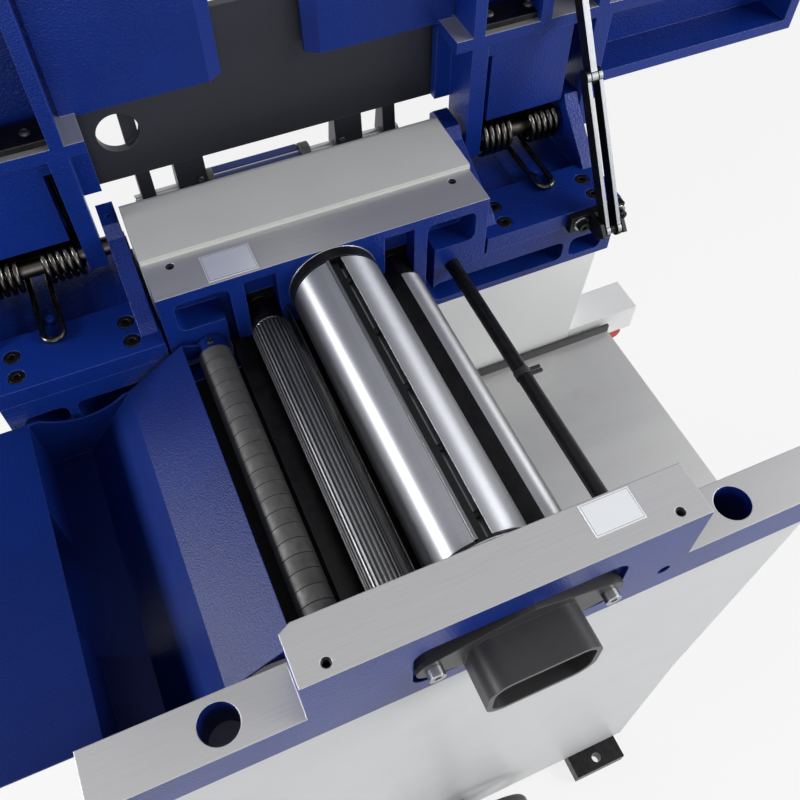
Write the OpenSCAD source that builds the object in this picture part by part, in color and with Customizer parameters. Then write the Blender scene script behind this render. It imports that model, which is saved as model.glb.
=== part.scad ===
// Combination planer thicknesser with both surfacing tables raised and the dust hood swung open.
// X runs along the feed with 0 at the cutterblock, Y from the operator to the rear, Z up from the floor.

/* [Head] */
// Clear width between the two cheeks, the widest board that passes
pass_w = 318; // [300:1:340]
// Height of the cheek tops above the floor
top_h = 850; // [840:1:880]
// Width of each cheek's ground top
cheek_w = 46; // [44:1:52]
// Length of the cheeks along the feed
cheek_l = 326; // [324:1:330]
// Length of the frames along the feed
frame_l = 644; // [640:1:660]
// Depth of the front frame below the cheek tops
front_drop = 122; // [116:1:130]
// Depth of the rear frame below the cheek tops
rear_drop = 131; // [126:1:140]
// Drop from the cheek tops to the front arms' machined pads
arm_drop = 71; // [66:1:76]
// Drop from the cheek tops to the hinge brackets
bracket_drop = 56; // [54:1:58]
// Thickness of the hinge bracket plates
bracket_t = 19; // [14:1:22]
// Diameter of the four lifting holes
lift_hole_d = 8; // [6:0.5:10]
// Diameter of the table lock holes in the front arms
lock_hole_d = 32; // [26:1:36]

/* [Cutterblock] */
// Diameter of the cutterblock body
block_d = 87.4; // [84:0.2:88]
// Gap between the cutterblock body and the rear cheek
block_gap = 14; // [10:0.5:16]
// Gap between the cutterblock body and the front cheek
block_front_gap = 4.5; // [4:0.5:8]
// Number of knives
knife_count = 3; // [2:1:4]
// Width of each knife slot
slot_w = 14.4; // [13:0.2:16]
// How far a knife stands out of the block
knife_out = 1; // [0.5:0.1:1.5]
// Diameter of the cutterblock journals
journal_d = 30; // [26:1:32]

/* [Feed] */
// Diameter of the feed rollers
roller_d = 37; // [32:1:38]
// Distance of each feed roller from the cutterblock
roller_x = 69; // [67:0.5:72]
// Drop from the cheek tops to the roller axes
roller_drop = 71; // [69:0.5:73]
// Number of flutes on the infeed roller
flute_count = 30; // [24:1:40]
// Distance of the finger shaft and the tie rod from the cutterblock
finger_x = 127; // [124:1:130]
// Drop from the cheek tops to the finger shaft
finger_drop = 74.5; // [72:0.5:77]
// Number of kickback fingers
finger_count = 20; // [12:1:24]
// Diameter of the finger shaft
finger_shaft_d = 16; // [14:1:18]
// Diameter of the tie rod
tie_rod_d = 14.5; // [10:0.5:16]

/* [Thickness table] */
// Length of the thickness table along the feed
bed_l = 706; // [640:2:708]
// Drop from the cheek tops to the thickness table
bed_drop = 285; // [275:1:300]
// Thickness of the table's plate
bed_t = 14; // [10:1:18]
// Diameter of the lifting column
column_d = 100; // [90:1:110]
// Diameter of the lead screw
screw_d = 25; // [20:1:30]

/* [Surfacing tables] */
// Distance from the cutterblock to a table's outer end
table_reach = 590; // [520:5:640]
// Distance from the cutterblock to the tip of a table's lip
lip_x = 40; // [38:0.5:50]
// Distance of the hinge axis behind the rear cheek
hinge_back = 76; // [74:0.5:78]
// Drop from the cheek tops to the hinge axis
hinge_drop = 35; // [34:0.5:36]
// Height of a lowered table's top over the cheek tops
table_rise = 1; // [0.5:0.5:2]
// Thickness of a table's plate
plate_t = 10; // [8:1:12]
// Diameter of the hinge shafts
hinge_d = 18; // [16:1:20]
// Wire diameter of the torsion springs
wire_d = 6; // [5:0.5:6]
// Gap between the springs' turns
turn_gap = 1; // [0.8:0.1:1.2]

/* [Dust hood] */
// Thickness of the hood's sheet
hood_t = 2; // [1.5:0.5:3]
// Outside diameter of the hose port
port_d = 100; // [80:1:100]
// Length of the hose port
port_l = 50; // [40:1:70]

/* [Fence] */
// Length of the fence
fence_l = 1000; // [800:10:1100]
// Height of the fence
fence_h = 150; // [130:1:170]
// Diameter of the round hole in the fence
fence_hole_d = 40; // [30:1:50]

/* [Cabinet] */
// Half width of the cabinet at its deck
cabinet_half = 282; // [280:1:300]
// Height of the cabinet's deck
deck_h = 345; // [340:1:350]
// Thickness of the cabinet's sheet
sheet_t = 3; // [2:0.5:4]
// Distance between the floor bolt holes along the feed
floor_bolt_x = 460; // [440:5:480]
// Distance between the floor bolt holes across the feed
floor_bolt_y = 440; // [436:1:444]
// Diameter of the floor bolt holes
floor_bolt_d = 14; // [10:1:16]
// Diameter of the handwheel
wheel_d = 180; // [150:5:200]

/* [Hidden] */
$fn = 48;
blue = "#23389b";
ground_iron = "#a3a4a6";
steel = "#b9bbbf";
black = "#232325";
white = "#e9eaea";
cover_grey = "#b4b5b1";
red = "#c03030";

// Clearances and overruns
over = 1;
fit = 0.05;
gap = 0.3;

// Main planes
zt = top_h;
yi = pass_w / 2;
yo = yi + cheek_w;
ym = (yi + yo) / 2;
xc = cheek_l / 2;
xf = frame_l / 2;
hinge_y = yo + hinge_back;
front_z = zt - front_drop;
rear_z = zt - rear_drop;
arm_z = zt - arm_drop;
bracket_z = zt - bracket_drop;
wing_z = bracket_z - bracket_t;
block_z = zt - block_d / 2;
roller_z = zt - roller_drop;
rod_z0 = zt - finger_drop;

// Castings
corner_cut = 10;
lift_end = 23;
lift_x = xc - lift_end;
lift_inset = 10;
lift_deep = 25;
lock_in = 20;
lock_x = (xc + xf) / 2 - lock_in;
slit_w = 3;
pocket_deep = 28;
pocket_r = 8;
rib_w = 10;
pocket_top = 12;
pocket_side = 13;
pocket_floor = 48;
boss_r = 20;
lip_h = 8;
wing_pocket_h = 26;
wing_web = 8;
sight_end = 19;
sight_x = xc - sight_end;
sight_drop = 87;
sight_d = 12;
sight_deep = 20;

// Bearings and roller blocks
bearing_d = 62;
bearing_w = 16;
seat_deep = 34;
cap_gap = 1.5;
cap_d = 88;
bearing_in = 6;
rod_seat = 18;
slide_w = 38;
slide_up = 24;
slide_down = 22;
slide_deep = 30;
sleeve_l = 10;
sleeve_in = 20;
sleeve_room = 1;
slot_roof = 10;
sleeve_d = 29;
pivot_d = 20;
flute_deep = 1.5;

// Knife stations
block_front = block_front_gap - yi;
block_rear = yi - block_gap;
block_l = block_rear - block_front;
block_mid = (block_front + block_rear) / 2;
slot_angle = -3.5;
slot_deep = 16;
knife_t = 3;
gib_t = 7.4;
gib_drop = 5;
flat_angle = -17;
flat_cut = 0.3;
gib_screw_d = 7;
gib_screws_each = 5;
gib_screw_drop = 10;
gib_pitch_share = 0.214;

// Drive at the rear
chain_gap = 5;
chain_y = yo + chain_gap;
chain_w = 10;
sprocket_r = 48;
sprocket_teeth = 24;
tooth_h = 4;
chain_t = 7;
shaft_d = 25;
pulley_gap = 8;
pulley_y = chain_y + chain_w + pulley_gap;
pulley_w = 34;
block_pulley_d = 70;
motor_pulley_d = 100;
groove = 5;
groove_count = 3;
belt_t = 6;
motor_x = -165;
motor_z = 124;
motor_d = 150;
motor_l = 240;
motor_shaft_d = 24;
motor_foot_w = 120;
motor_fins = 20;
fin_out = 8;
fin_w = 3;
cover_t = 3;
cover_up = 5;
cover_top = zt + cover_up;
cover_half = xc + over;
cover_r = 9;
cover_deep = 83;
guard_half = 78;
guard_low = 34;

// Fingers
finger_r = 15.5;
finger_gap = 0.6;
finger_reach = 33;
finger_tip = 7;
finger_lean = 62;
catch_w = 7.5;
catch_y = 8;
catch_l = 19;
catch_t = 0.8;
fork_w = 2.8;

// Chip deflectors
deflector_t = 1;
deflector_room = 5;
deflector_lap = 4;
breaker_room = 2;
breaker_up = 16;
breaker_down = 14;
breaker_toe = 16;

// Thickness table and lift
bed_side = 3;
bed_w = pass_w - 2 * bed_side;
bed_rib = 10;
bed_rib_h = 46;
strip_t = 4;
strip_h = 11;
bed_z = zt - bed_drop;
column_l = 295;
guide_wall = 15;
guide_up = 95;
guide_down = 45;
guide_flange_d = 180;
guide_flange_t = 12;
column_bore = 40;
nut_h = 30;
screw_top = 470;
gear_z = 95;
gear_r = 30;
gear_hub_d = 36;
gear_face = 14;
screw_seat_h = 22;
screw_foot_d = 20;
wheel_shaft_d = 20;

// Surfacing tables
hinge_z = zt - hinge_drop;
table_top = zt + table_rise;
table_off = 10;
table_x = xc + table_off;
table_front = yo - over;
table_gap = 43;
table_back = hinge_y - table_gap;
rib_up = 4;
rib_low = bracket_z + rib_up;
lip_t = 13;
lip_nose = 5;
table_rib = 12;
lug_off = 5;
lug_w = 16;
lug_out_w = 15;
lug_in = [xc + lug_off, xc + lug_off + lug_w];
lug_out = [xf - lug_out_w, xf];
lug_back = 26;
lug_front = 12;
lug_toe_in = 17;
lug_toe_out = 53;
lug_step = 8;
wing_margin = 3;
wing_back = hinge_y + lug_back + wing_margin;
arm_w = 17.5;
arm_in_gap = 6;
arm_out_gap = 3;
arm_in = [lug_in[1] + arm_in_gap, lug_in[1] + arm_in_gap + arm_w];
arm_out = [xf + arm_out_gap, xf + arm_out_gap + arm_w];
arm_tail = 20;
arm_chamfer = 12;
band_in = 11;
band_y = yi - band_in;
band_w = 12;
foot_w = 76;
web_gap = 3;
web_x = [arm_in[1] - over, lug_out[0] - web_gap];
web_end = 29;
web_y = hinge_y - web_end;
web_up = 6;
web_t = 14;
leg_slot_in = 16;
leg_slot_w = 8;
lock_taper = 8;
lock_pin_d = lock_hole_d - over;
lock_tip_d = lock_hole_d - lock_taper;
lock_stem_d = 16;
lock_pin_l = 24;
lever_t = 10;
lever_w = 26;
lever_l = 50;
lever_room = 28;
lever_knob_d = 34;
recess_front = 63;
recess_y = yi + recess_front;
recess_t = 8;
screw_in = 9;
screw_row = [16, 40];
screw_x = [lug_in[1] + screw_in, lug_out[0] - screw_in];
screw_y = [yi + screw_row[0], yi + screw_row[1]];
socket_d = 14;
socket_h = 8;
thread_d = 8;
thread_l = 24;

// Springs
quarter_share = 0.25;
coil_pitch = wire_d + turn_gap;
coil_r = hinge_z - bracket_z - gap - wire_d / 2;
loop_x = (arm_in[1] + lug_out[0]) / 2;
loop_half = 9;
loop_reach = 42;
loop_tip_y = yi + loop_reach;
peg_back = 70;
peg_d = 8;
coil_room = (lug_out[0] - arm_in[1]) / 2 - loop_half - wire_d / 2 - gap;
coil_turns = floor(coil_room / coil_pitch - quarter_share);
coil_rings = 8;
tube_sides = 6;

// Stay of the infeed table
stay_in = 12;
stay_x = lug_out[0] - stay_in;
stay_bar_t = 4;
stay_bar_w = 16;
stay_gap = 10;
stay_apart = 6.5;
stay_pin_d = 10;
stay_front = 27;
stay_y = yi - stay_front;
stay_drop = 67;
stay_z = zt - stay_drop;
stay_table_front = 69;
stay_table_y = yi - stay_table_front;
stay_table_drop = 38;
stay_table_z = zt - stay_table_drop;
stay_low_share = 0.57;
stay_waist_share = 0.85;
stay_plate_t = 8;
stay_plate_h = 20;
stay_ear_t = 4;
stay_bolt_in = 24;
stay_bolt_end = 6.5;
stay_bolt_x = [stay_x - stay_bolt_in, xf - stay_bolt_end];
stay_bolt_d = 12;
stay_plate_z = bracket_z - stay_plate_h / 2 - over;

// Hood outline
hood_edge_x = 153;
hood_edge_drop = 58.5;
hood_flange_drop = 98.5;
hood_ridge_x = 212;
hood_ridge_drop = 98;
hood_floor_x = [266.5, 306];
hood_floor_drop = 165.5;
hood_rim_x = 395;
hood_arc_x = 256;
hood_arc_drop = 52;
hood_arc_r = 60;
hood_side = 6;
hood_half = yi - hood_side;
hood_end_t = 2;
collar_d = 28;
collar_w = 11;
chute_half = 60;
chute_bend_x = 358;
chute_low_drop = 208;
port_drop = 153;
port_z = zt - port_drop;
port_t = 2;
hood_flange = [-hood_edge_x, zt - hood_flange_drop];
hood_edge = [-hood_edge_x, zt - hood_edge_drop];
hood_ridge = [-hood_ridge_x, zt - hood_ridge_drop];
hood_floor_r = [-hood_floor_x[0], zt - hood_floor_drop];
hood_floor_l = [-hood_floor_x[1], zt - hood_floor_drop];
hood_step = [-hood_floor_x[1], zt - hood_ridge_drop];
hood_rim = [-hood_rim_x, zt - hood_ridge_drop];
hood_arc = [-hood_arc_x, zt - hood_arc_drop];
chute_bend = [-chute_bend_x, zt - hood_floor_drop];
chute_low = [-hood_rim_x, zt - chute_low_drop];

// Fence
fence_back = 119;
fence_y = yo + fence_back;
fence_t = 8;
fence_z = table_top + over;
fence_hole_x = -142;
fence_hole_up = 51;
fence_axis_back = 16;
fence_axis_drop = 45;
fence_axis_y = fence_y + fence_axis_back;
fence_axis_z = fence_z - fence_axis_drop;
fence_pin_d = 12;
fence_arm_x = [-131, -85, 85, 131];
fence_arm_w = [14, 30, 30, 14];
fence_eye_d = 26;
carrier_x = [-62, 32];
carrier_y = yo + over + cover_deep;
carrier_h = 46;
carrier_t = 12;

// Guard bracket
guard_x = 10;
guard_drop = 67;
guard_z = zt - guard_drop;
guard_bolt_half = 75;
guard_eye_r = 14;
guard_mid_r = 34;
guard_plate_t = 10;
guard_recess = 6;
neck_half = 48;
neck_up = 17;
neck_down = 44;
neck_l = 41;
neck_r = 20;
neck_wall = 5;

// Cabinet details
rail_h = 25;
rail_w = 80;
rail_over = 30;
wall_top_half = 307;
wall_inset = 2;
box_in = 7;
box_w = 97;
box_x = [wall_top_half - box_in, wall_top_half - box_in + box_w];
box_y = [yi + wall_inset, yo + over];
box_low_drop = 380;
box_top_drop = 267;
box_z = [zt - box_low_drop, zt - box_top_drop];
box_lip = 38;
box_back = 22;
button_side = 73;
button_x = wall_top_half + button_side;
button_drop = 322;
button_z = zt - button_drop;
button_out = 6;
button_d = 30;
stem_d = 16;
button_t = 8;
wheel_rim_d = 18;
wheel_hub_d = 40;
wheel_out = 34;
wheel_y = yo + wheel_out;
spoke_w = 16;
spoke_t = 8;
knob_d = 26;
knob_l = 60;

// Shared shapes

module slab(lo, hi) {
    translate(lo) cube(hi - lo);
}

module along_x(x0, x1) {
    translate([x0, 0, 0]) rotate([90, 0, 90]) linear_extrude(x1 - x0) children();
}

module along_y(y0, y1) {
    translate([0, y1, 0]) rotate([90, 0, 0]) linear_extrude(y1 - y0) children();
}

module along_z(z0, z1) {
    translate([0, 0, z0]) linear_extrude(z1 - z0) children();
}

module rod_x(y, z, x0, x1, d) {
    translate([x0, y, z]) rotate([0, 90, 0]) cylinder(h = x1 - x0, d = d);
}

module rod_y(x, z, y0, y1, d) {
    translate([x, y1, z]) rotate([90, 0, 0]) cylinder(h = y1 - y0, d = d);
}

module rod_z(x, y, z0, z1, d) {
    translate([x, y, z0]) cylinder(h = z1 - z0, d = d);
}

module both_sides() {
    children();
    mirror([1, 0, 0]) children();
}

module both_ends() {
    children();
    mirror([0, 1, 0]) children();
}

// A rectangle with round corners between two corners
module pane(lo, hi, r) {
    translate([lo[0] + r, lo[1]]) square([hi[0] - lo[0] - 2 * r, hi[1] - lo[1]]);
    translate([lo[0], lo[1] + r]) square([hi[0] - lo[0], hi[1] - lo[1] - 2 * r]);
    for (x = [lo[0] + r, hi[0] - r], y = [lo[1] + r, hi[1] - r])
        translate([x, y]) circle(r);
}

function unit(v) = v / norm(v);
function left_of(v) = [-v[1], v[0]];

// The point beside corner i of a folded sheet, at distance d on its left
function beside(p, i, d) =
    let (a = i > 0 ? left_of(unit(p[i] - p[i - 1])) : left_of(unit(p[1] - p[0])))
    let (b = i < len(p) - 1 ? left_of(unit(p[i + 1] - p[i])) : a)
    p[i] + d * (a + b) / (1 + a * b);

// A folded sheet of thickness t along the points p
module folded(p, t) {
    polygon(concat(p, [for (i = [len(p) - 1 : -1 : 0]) beside(p, i, t)]));
}

// Brings a lowered surfacing table to its raised place
module raised() {
    translate([0, hinge_y, hinge_z]) rotate([-90, 0, 0]) translate([0, -hinge_y, -hinge_z]) children();
}

// A socket head screw that stands on a face, pointing up
module socket_screw(head_d, head_h, stem, stem_l) {
    difference() {
        cylinder(h = head_h, d = head_d);
        translate([0, 0, head_h / 2]) cylinder(h = head_h, d = head_d / 2, $fn = 6);
    }
    translate([0, 0, -stem_l]) cylinder(h = stem_l, d = stem);
}

// Frames

module relief_outline() {
    pane([roller_x + slide_w / 2 + rib_w, zt - pocket_floor], [xc - pocket_side, zt - pocket_top], pocket_r);
    translate([roller_x + slide_w / 2 + rib_w, rear_z + lip_h])
        square([finger_x - boss_r - roller_x - slide_w / 2 - rib_w, zt - pocket_floor - rear_z]);
}

module slide_outline() {
    translate([roller_x - slide_w / 2, roller_z - slide_down]) square([slide_w, slide_down + slide_up]);
}

// Slot over a roller's sleeve, open towards the passage
module sleeve_outline() {
    w = sleeve_d + 2 * sleeve_room;
    translate([roller_x - w / 2, roller_z]) square([w, zt - slot_roof - roller_z]);
    translate([roller_x, roller_z]) circle(d = w);
}

// Seats that both cheeks have on their inner faces, drawn for the rear one
module cheek_seats() {
    rod_y(0, block_z, yi - over, yi + seat_deep, bearing_d + 2 * fit);
    rod_y(-finger_x, rod_z0, yi - over, yi + rod_seat + gap, finger_shaft_d + 2 * fit);
    rod_y(finger_x, rod_z0, yi - over, yi + rod_seat + gap, tie_rod_d + 2 * fit);
    both_sides() along_y(yi - over, yi + sleeve_in) sleeve_outline();
    both_sides() along_y(yi + sleeve_in - over, yi + slide_deep) slide_outline();
    both_sides() along_y(yi - over, yi + pocket_deep) relief_outline();
    both_sides() rod_z(lift_x, yo - lift_inset, zt - lift_deep, zt + over, lift_hole_d);
}

module front_frame() {
    color(blue) difference() {
        union() {
            along_z(front_z, zt) polygon([
                [-xc, -yo], [xc, -yo], [xc, -yi], [-xc + corner_cut, -yi], [-xc, -yi - corner_cut / 2]
            ]);
            both_sides() slab([xc - over, -yo, front_z], [xf, -yi, arm_z]);
        }
        mirror([0, 1, 0]) cheek_seats();
        both_sides() rod_z(lock_x, -ym, front_z - over, arm_z + over, lock_hole_d);
        along_y(-yo - over, -yo + guard_recess)
            pane([guard_x - guard_bolt_half - guard_eye_r - over, guard_z - guard_mid_r - over],
                [guard_x + guard_bolt_half + guard_eye_r + over, guard_z + guard_mid_r + over], guard_eye_r);
        for (side = [-1, 1])
            rod_y(guard_x + side * guard_bolt_half, guard_z, -yo - over, -yo + thread_l, thread_d + 2 * fit);
        rod_y(sight_x, zt - sight_drop, -yo - over, -yo + sight_deep, sight_d);
    }
}

module wing_pockets() {
    x0 = finger_x - boss_r;
    x1 = xf - pocket_side - 2 * boss_r - wing_web;
    along_y(yi - over, yi + pocket_deep) {
        pane([x0, rear_z + lip_h], [x1, rear_z + lip_h + wing_pocket_h], pocket_r);
        pane([x1 + wing_web, rear_z + lip_h], [xf - pocket_side, rear_z + lip_h + wing_pocket_h], pocket_r);
    }
}

module rear_frame() {
    color(blue) difference() {
        union() {
            slab([-xc, yi, rear_z], [xc, yo, zt]);
            slab([-xf, yi, rear_z], [xf, yo, wing_z]);
            both_sides() slab([xc + over, yi, rear_z], [xf, wing_back, wing_z]);
        }
        cheek_seats();
        both_sides() wing_pockets();
        rod_y(0, block_z, yi, yo + over, journal_d + 2 * gap);
        both_sides() rod_y(roller_x, roller_z, yi, yo + over, pivot_d + 2 * gap);
        for (x = screw_x, y = screw_y)
            both_sides() rod_z(x, y, wing_z - thread_l, wing_z + over, thread_d + 2 * fit);
    }
}

module bearing_caps() {
    color(black) difference() {
        union() {
            rod_y(0, block_z, block_rear + cap_gap, yi, cap_d);
            rod_y(0, block_z, -yi, block_front - cap_gap, cap_d);
        }
        rod_y(0, block_z, -yi - over, yi + over, journal_d + 2 * gap);
    }
}

module block_bearings() {
    color(steel) both_ends() difference() {
        rod_y(0, block_z, yi + bearing_in, yi + bearing_in + bearing_w, bearing_d);
        rod_y(0, block_z, yi, yi + bearing_in + bearing_w + over, journal_d + 2 * fit);
    }
}

module roller_blocks() {
    color(black) both_ends() both_sides() difference() {
        union() {
            slab([roller_x - slide_w / 2 + gap, yi + sleeve_in, roller_z - slide_down],
                [roller_x + slide_w / 2 - gap, yi + slide_deep - gap, roller_z + slide_up - gap]);
            rod_y(roller_x, roller_z, yi - sleeve_l, yi + sleeve_in + over, sleeve_d);
        }
        rod_y(roller_x, roller_z, yi - sleeve_l - over, yi + slide_deep + over, pivot_d + 2 * fit);
    }
}

module finger_shaft() {
    color(steel) rod_y(-finger_x, rod_z0, -yi - rod_seat, yi + rod_seat, finger_shaft_d);
}

module tie_rod() {
    color(black) rod_y(finger_x, rod_z0, -yi - rod_seat, yi + rod_seat, tie_rod_d);
}

module rod_catch() {
    color(black) difference() {
        union() {
            rod_y(finger_x, rod_z0, catch_y - catch_w / 2, catch_y + catch_w / 2, tie_rod_d + 2 * catch_t);
            for (side = [-1, 1])
                translate([0, catch_y + side * (catch_w - fork_w) / 2, 0])
                    slab([finger_x, -fork_w / 2, rod_z0 - fork_w / 2],
                        [finger_x + catch_l, fork_w / 2, rod_z0 + fork_w / 2]);
        }
        rod_y(finger_x, rod_z0, catch_y - catch_w, catch_y + catch_w, tie_rod_d + 2 * fit);
    }
}

// Thin sheets beside the outfeed roller, in front of the block and behind the fingers
module chip_deflector() {
    out_x = block_d / 2 + knife_out + deflector_room;
    in_x = roller_x - roller_d / 2 - breaker_room;
    toe_z = roller_z - breaker_down;
    color(black) along_y(-yi, yi) {
        folded([
            [out_x, roller_z - roller_d / 4], [out_x, roller_z + roller_d / 3],
            [roller_x - deflector_lap, roller_z + roller_d / 2 + breaker_room]
        ], deflector_t);
        folded([
            [-in_x, roller_z + breaker_up], [-in_x, toe_z], [-in_x + breaker_toe, toe_z - deflector_t]
        ], deflector_t);
        folded([
            [-finger_x + finger_r + deflector_lap, rod_z0 - deflector_room],
            [-roller_x - roller_d / 2 + breaker_room, rod_z0 - 2 * deflector_room]
        ], deflector_t);
    }
}

// Hinge brackets and springs

module lug(range, foot_y) {
    along_x(range[0], range[1]) polygon([
        [foot_y, bracket_z - over], [foot_y, bracket_z], [foot_y + lug_step, bracket_z + lug_step],
        [hinge_y - lug_front - lug_step, zt - lug_front], [hinge_y - lug_front, zt],
        [hinge_y + lug_back - lug_step, zt], [hinge_y + lug_back, zt - lug_step],
        [hinge_y + lug_back, bracket_z - over]
    ]);
}

module hinge_bracket() {
    difference() {
        union() {
            difference() {
                slab([xc + slit_w, yi, wing_z], [xf, wing_back, bracket_z]);
                slab([lug_in[1], recess_y, bracket_z - recess_t],
                    [lug_out[0], wing_back + over, bracket_z + over]);
            }
            lug(lug_in, yi + lug_toe_in);
            lug(lug_out, yi + lug_toe_out);
            rod_z(loop_x, yi + peg_back, bracket_z - recess_t - over, bracket_z + wire_d / 2, peg_d);
        }
        rod_x(hinge_y, hinge_z, xc, xf + over, hinge_d + 2 * fit);
        for (x = screw_x, y = screw_y) {
            rod_z(x, y, wing_z - over, bracket_z, thread_d + 2 * fit);
            rod_z(x, y, bracket_z - socket_h, bracket_z + over, socket_d + 2 * over);
        }
        translate([(lug_in[0] + lug_in[1]) / 2, hinge_y, zt - lug_step])
            cylinder(h = lug_step + over, d = thread_d / 2);
    }
}

module hinge_bracket_left() {
    color(blue) mirror([1, 0, 0]) hinge_bracket();
}

module hinge_bracket_right() {
    color(blue) difference() {
        hinge_bracket();
        for (x = stay_bolt_x)
            rod_y(x, stay_plate_z, yi - over, yi + thread_l, thread_d + 2 * fit);
    }
}

module bracket_screws() {
    color(black) both_sides() for (x = screw_x, y = screw_y)
        translate([x, y, bracket_z - socket_h]) socket_screw(socket_d, socket_h, thread_d, thread_l);
}

module hinge_shaft() {
    rod_x(hinge_y, hinge_z, lug_in[0] - over, arm_out[1] + over, hinge_d);
}

module hinge_shaft_left() {
    color(steel) mirror([1, 0, 0]) hinge_shaft();
}

module hinge_shaft_right() {
    color(steel) hinge_shaft();
}

// Centre line of a spring: a leg, a coil, the loop on the bracket, a coil and a leg.
// A coil starts at the rear of the shaft, where its leg comes down, and ends under it, going forward.
coil_l = coil_pitch * (coil_turns + quarter_share);
coil_steps = coil_rings * (coil_turns + quarter_share);
leg_top = hinge_z + hinge_y - band_y - band_w - gap;
leg_points = 3;
loop_steps = 8;
function leg_at(side, s) =
    [loop_x + side * (loop_half + coil_l), hinge_y + coil_r, leg_top + (hinge_z + wire_d - leg_top) * s];
function coil_at(side, s) =
    let (a = -360 * (coil_turns + quarter_share) * s)
    [loop_x + side * (loop_half + coil_l * (1 - s)), hinge_y + coil_r * cos(a), hinge_z + coil_r * sin(a)];
function loop_at(s) =
    let (a = 180 * s)
    [loop_x - loop_half * cos(a), loop_tip_y + loop_half - loop_half * sin(a), hinge_z - coil_r];
function across_loop(p) = [2 * loop_x - p[0], p[1], p[2]];
spring_half = concat(
    [for (i = [0 : leg_points - 1]) leg_at(-1, i / (leg_points - 1))],
    [for (i = [0 : coil_steps]) coil_at(-1, i / coil_steps)],
    [[loop_x - loop_half, hinge_y - coil_r, hinge_z - coil_r]]
);
spring_line = concat(
    spring_half,
    [for (i = [0 : loop_steps]) loop_at(i / loop_steps)],
    [for (i = [len(spring_half) - 1 : -1 : 0]) across_loop(spring_half[i])]
);

// Rings of a tube along the points p, each frame carried on from the one before
function tangent(p, i) = unit(p[min(i + 1, len(p) - 1)] - p[max(i - 1, 0)]);
function carried(n, t) = unit(n - (n * t) * t);
function normals(p, i, n) =
    i == len(p) ? [] : let (m = carried(n, tangent(p, i))) concat([m], normals(p, i + 1, m));
function ring(c, t, n, r) =
    [for (k = [0 : tube_sides - 1])
        let (a = 360 * k / tube_sides)
        c + r * (cos(a) * n + sin(a) * cross(t, n))];

module tube(p, r) {
    n = normals(p, 0, [1, 0, 0]);
    last = (len(p) - 1) * tube_sides;
    polyhedron(
        points = [for (i = [0 : len(p) - 1]) each ring(p[i], tangent(p, i), n[i], r)],
        faces = concat(
            [for (k = [1 : tube_sides - 2]) [0, k, k + 1]],
            [for (i = [0 : len(p) - 2], k = [0 : tube_sides - 1], h = [0, 1])
                let (a = i * tube_sides + k, b = i * tube_sides + (k + 1) % tube_sides)
                h == 0 ? [a, a + tube_sides, b] : [b, a + tube_sides, b + tube_sides]],
            [for (k = [1 : tube_sides - 2]) [last, last + k + 1, last + k]]
        )
    );
}

// Least gap between stretches of wire that are more than half a turn apart
spring_gap = min([for (i = [0 : len(spring_line) - 1], j = [i + coil_rings / 2 : len(spring_line) - 1])
    norm(spring_line[i] - spring_line[j])]) - wire_d;
echo(spring_gap = spring_gap);

module spring_left() {
    color(steel) mirror([1, 0, 0]) tube(spring_line, wire_d / 2);
}

module spring_right() {
    color(steel) tube(spring_line, wire_d / 2);
}

// Cutterblock

module station(i) {
    translate([0, 0, block_z]) rotate([0, slot_angle + i * 360 / knife_count, 0]) children();
}

module cutterblock() {
    r = block_d / 2;
    color(steel) difference() {
        union() {
            rod_y(0, block_z, block_front, block_rear, block_d);
            rod_y(0, block_z, -yi - bearing_in - bearing_w, yo + over, journal_d);
        }
        for (i = [0 : knife_count - 1]) {
            station(i) slab([-slot_w / 2, -block_l, r - slot_deep], [slot_w / 2, block_l, r + over]);
            translate([0, 0, block_z]) rotate([0, flat_angle + i * 360 / knife_count, 0])
                slab([-r / 4, -block_l, r - flat_cut], [r / 4, block_l, r + over]);
        }
    }
}

module knives() {
    r = block_d / 2;
    color(steel) for (i = [0 : knife_count - 1])
        station(i) slab([-slot_w / 2, block_front, r - slot_deep],
            [-slot_w / 2 + knife_t, block_rear, r + knife_out]);
}

module gibs() {
    r = block_d / 2;
    color(black) for (i = [0 : knife_count - 1])
        station(i) slab([-slot_w / 2 + knife_t, block_front, r - slot_deep],
            [-slot_w / 2 + knife_t + gib_t, block_rear, r - gib_drop]);
}

module gib_screws() {
    r = block_d / 2;
    color(steel) for (i = [0 : knife_count - 1], k = [0 : gib_screws_each - 1])
        station(i) rod_x(block_mid + (k - (gib_screws_each - 1) / 2) * block_l * gib_pitch_share,
            r - gib_screw_drop, -slot_w / 2 + knife_t + gib_t, slot_w / 2, gib_screw_d);
}

module grooved_pulley(d) {
    pitch = pulley_w / groove_count;
    rotate_extrude() difference() {
        square([d / 2, pulley_w]);
        for (i = [0 : groove_count - 1])
            translate([d / 2, (i + 0.5) * pitch]) polygon([
                [over, -groove], [-groove, -groove / 2], [-groove, groove / 2], [over, groove]
            ]);
    }
}

// The pulley sits on a stub that stands against the block's rear journal
module block_pulley() {
    color(steel) {
        rod_y(0, block_z, yo + over, pulley_y + pulley_w, shaft_d);
        difference() {
            translate([0, pulley_y, block_z]) rotate([-90, 0, 0]) grooved_pulley(block_pulley_d);
            rod_y(0, block_z, pulley_y - over, pulley_y + pulley_w + over, shaft_d + 2 * fit);
        }
    }
}

module motor_pulley() {
    color(steel) difference() {
        translate([motor_x, pulley_y, motor_z]) rotate([-90, 0, 0]) grooved_pulley(motor_pulley_d);
        rod_y(motor_x, motor_z, pulley_y - over, pulley_y + pulley_w + over, motor_shaft_d + 2 * fit);
    }
}

module belt_loop(grow) {
    hull() {
        translate([0, block_z]) circle(d = block_pulley_d + 2 * grow);
        translate([motor_x, motor_z]) circle(d = motor_pulley_d + 2 * grow);
    }
}

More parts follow.
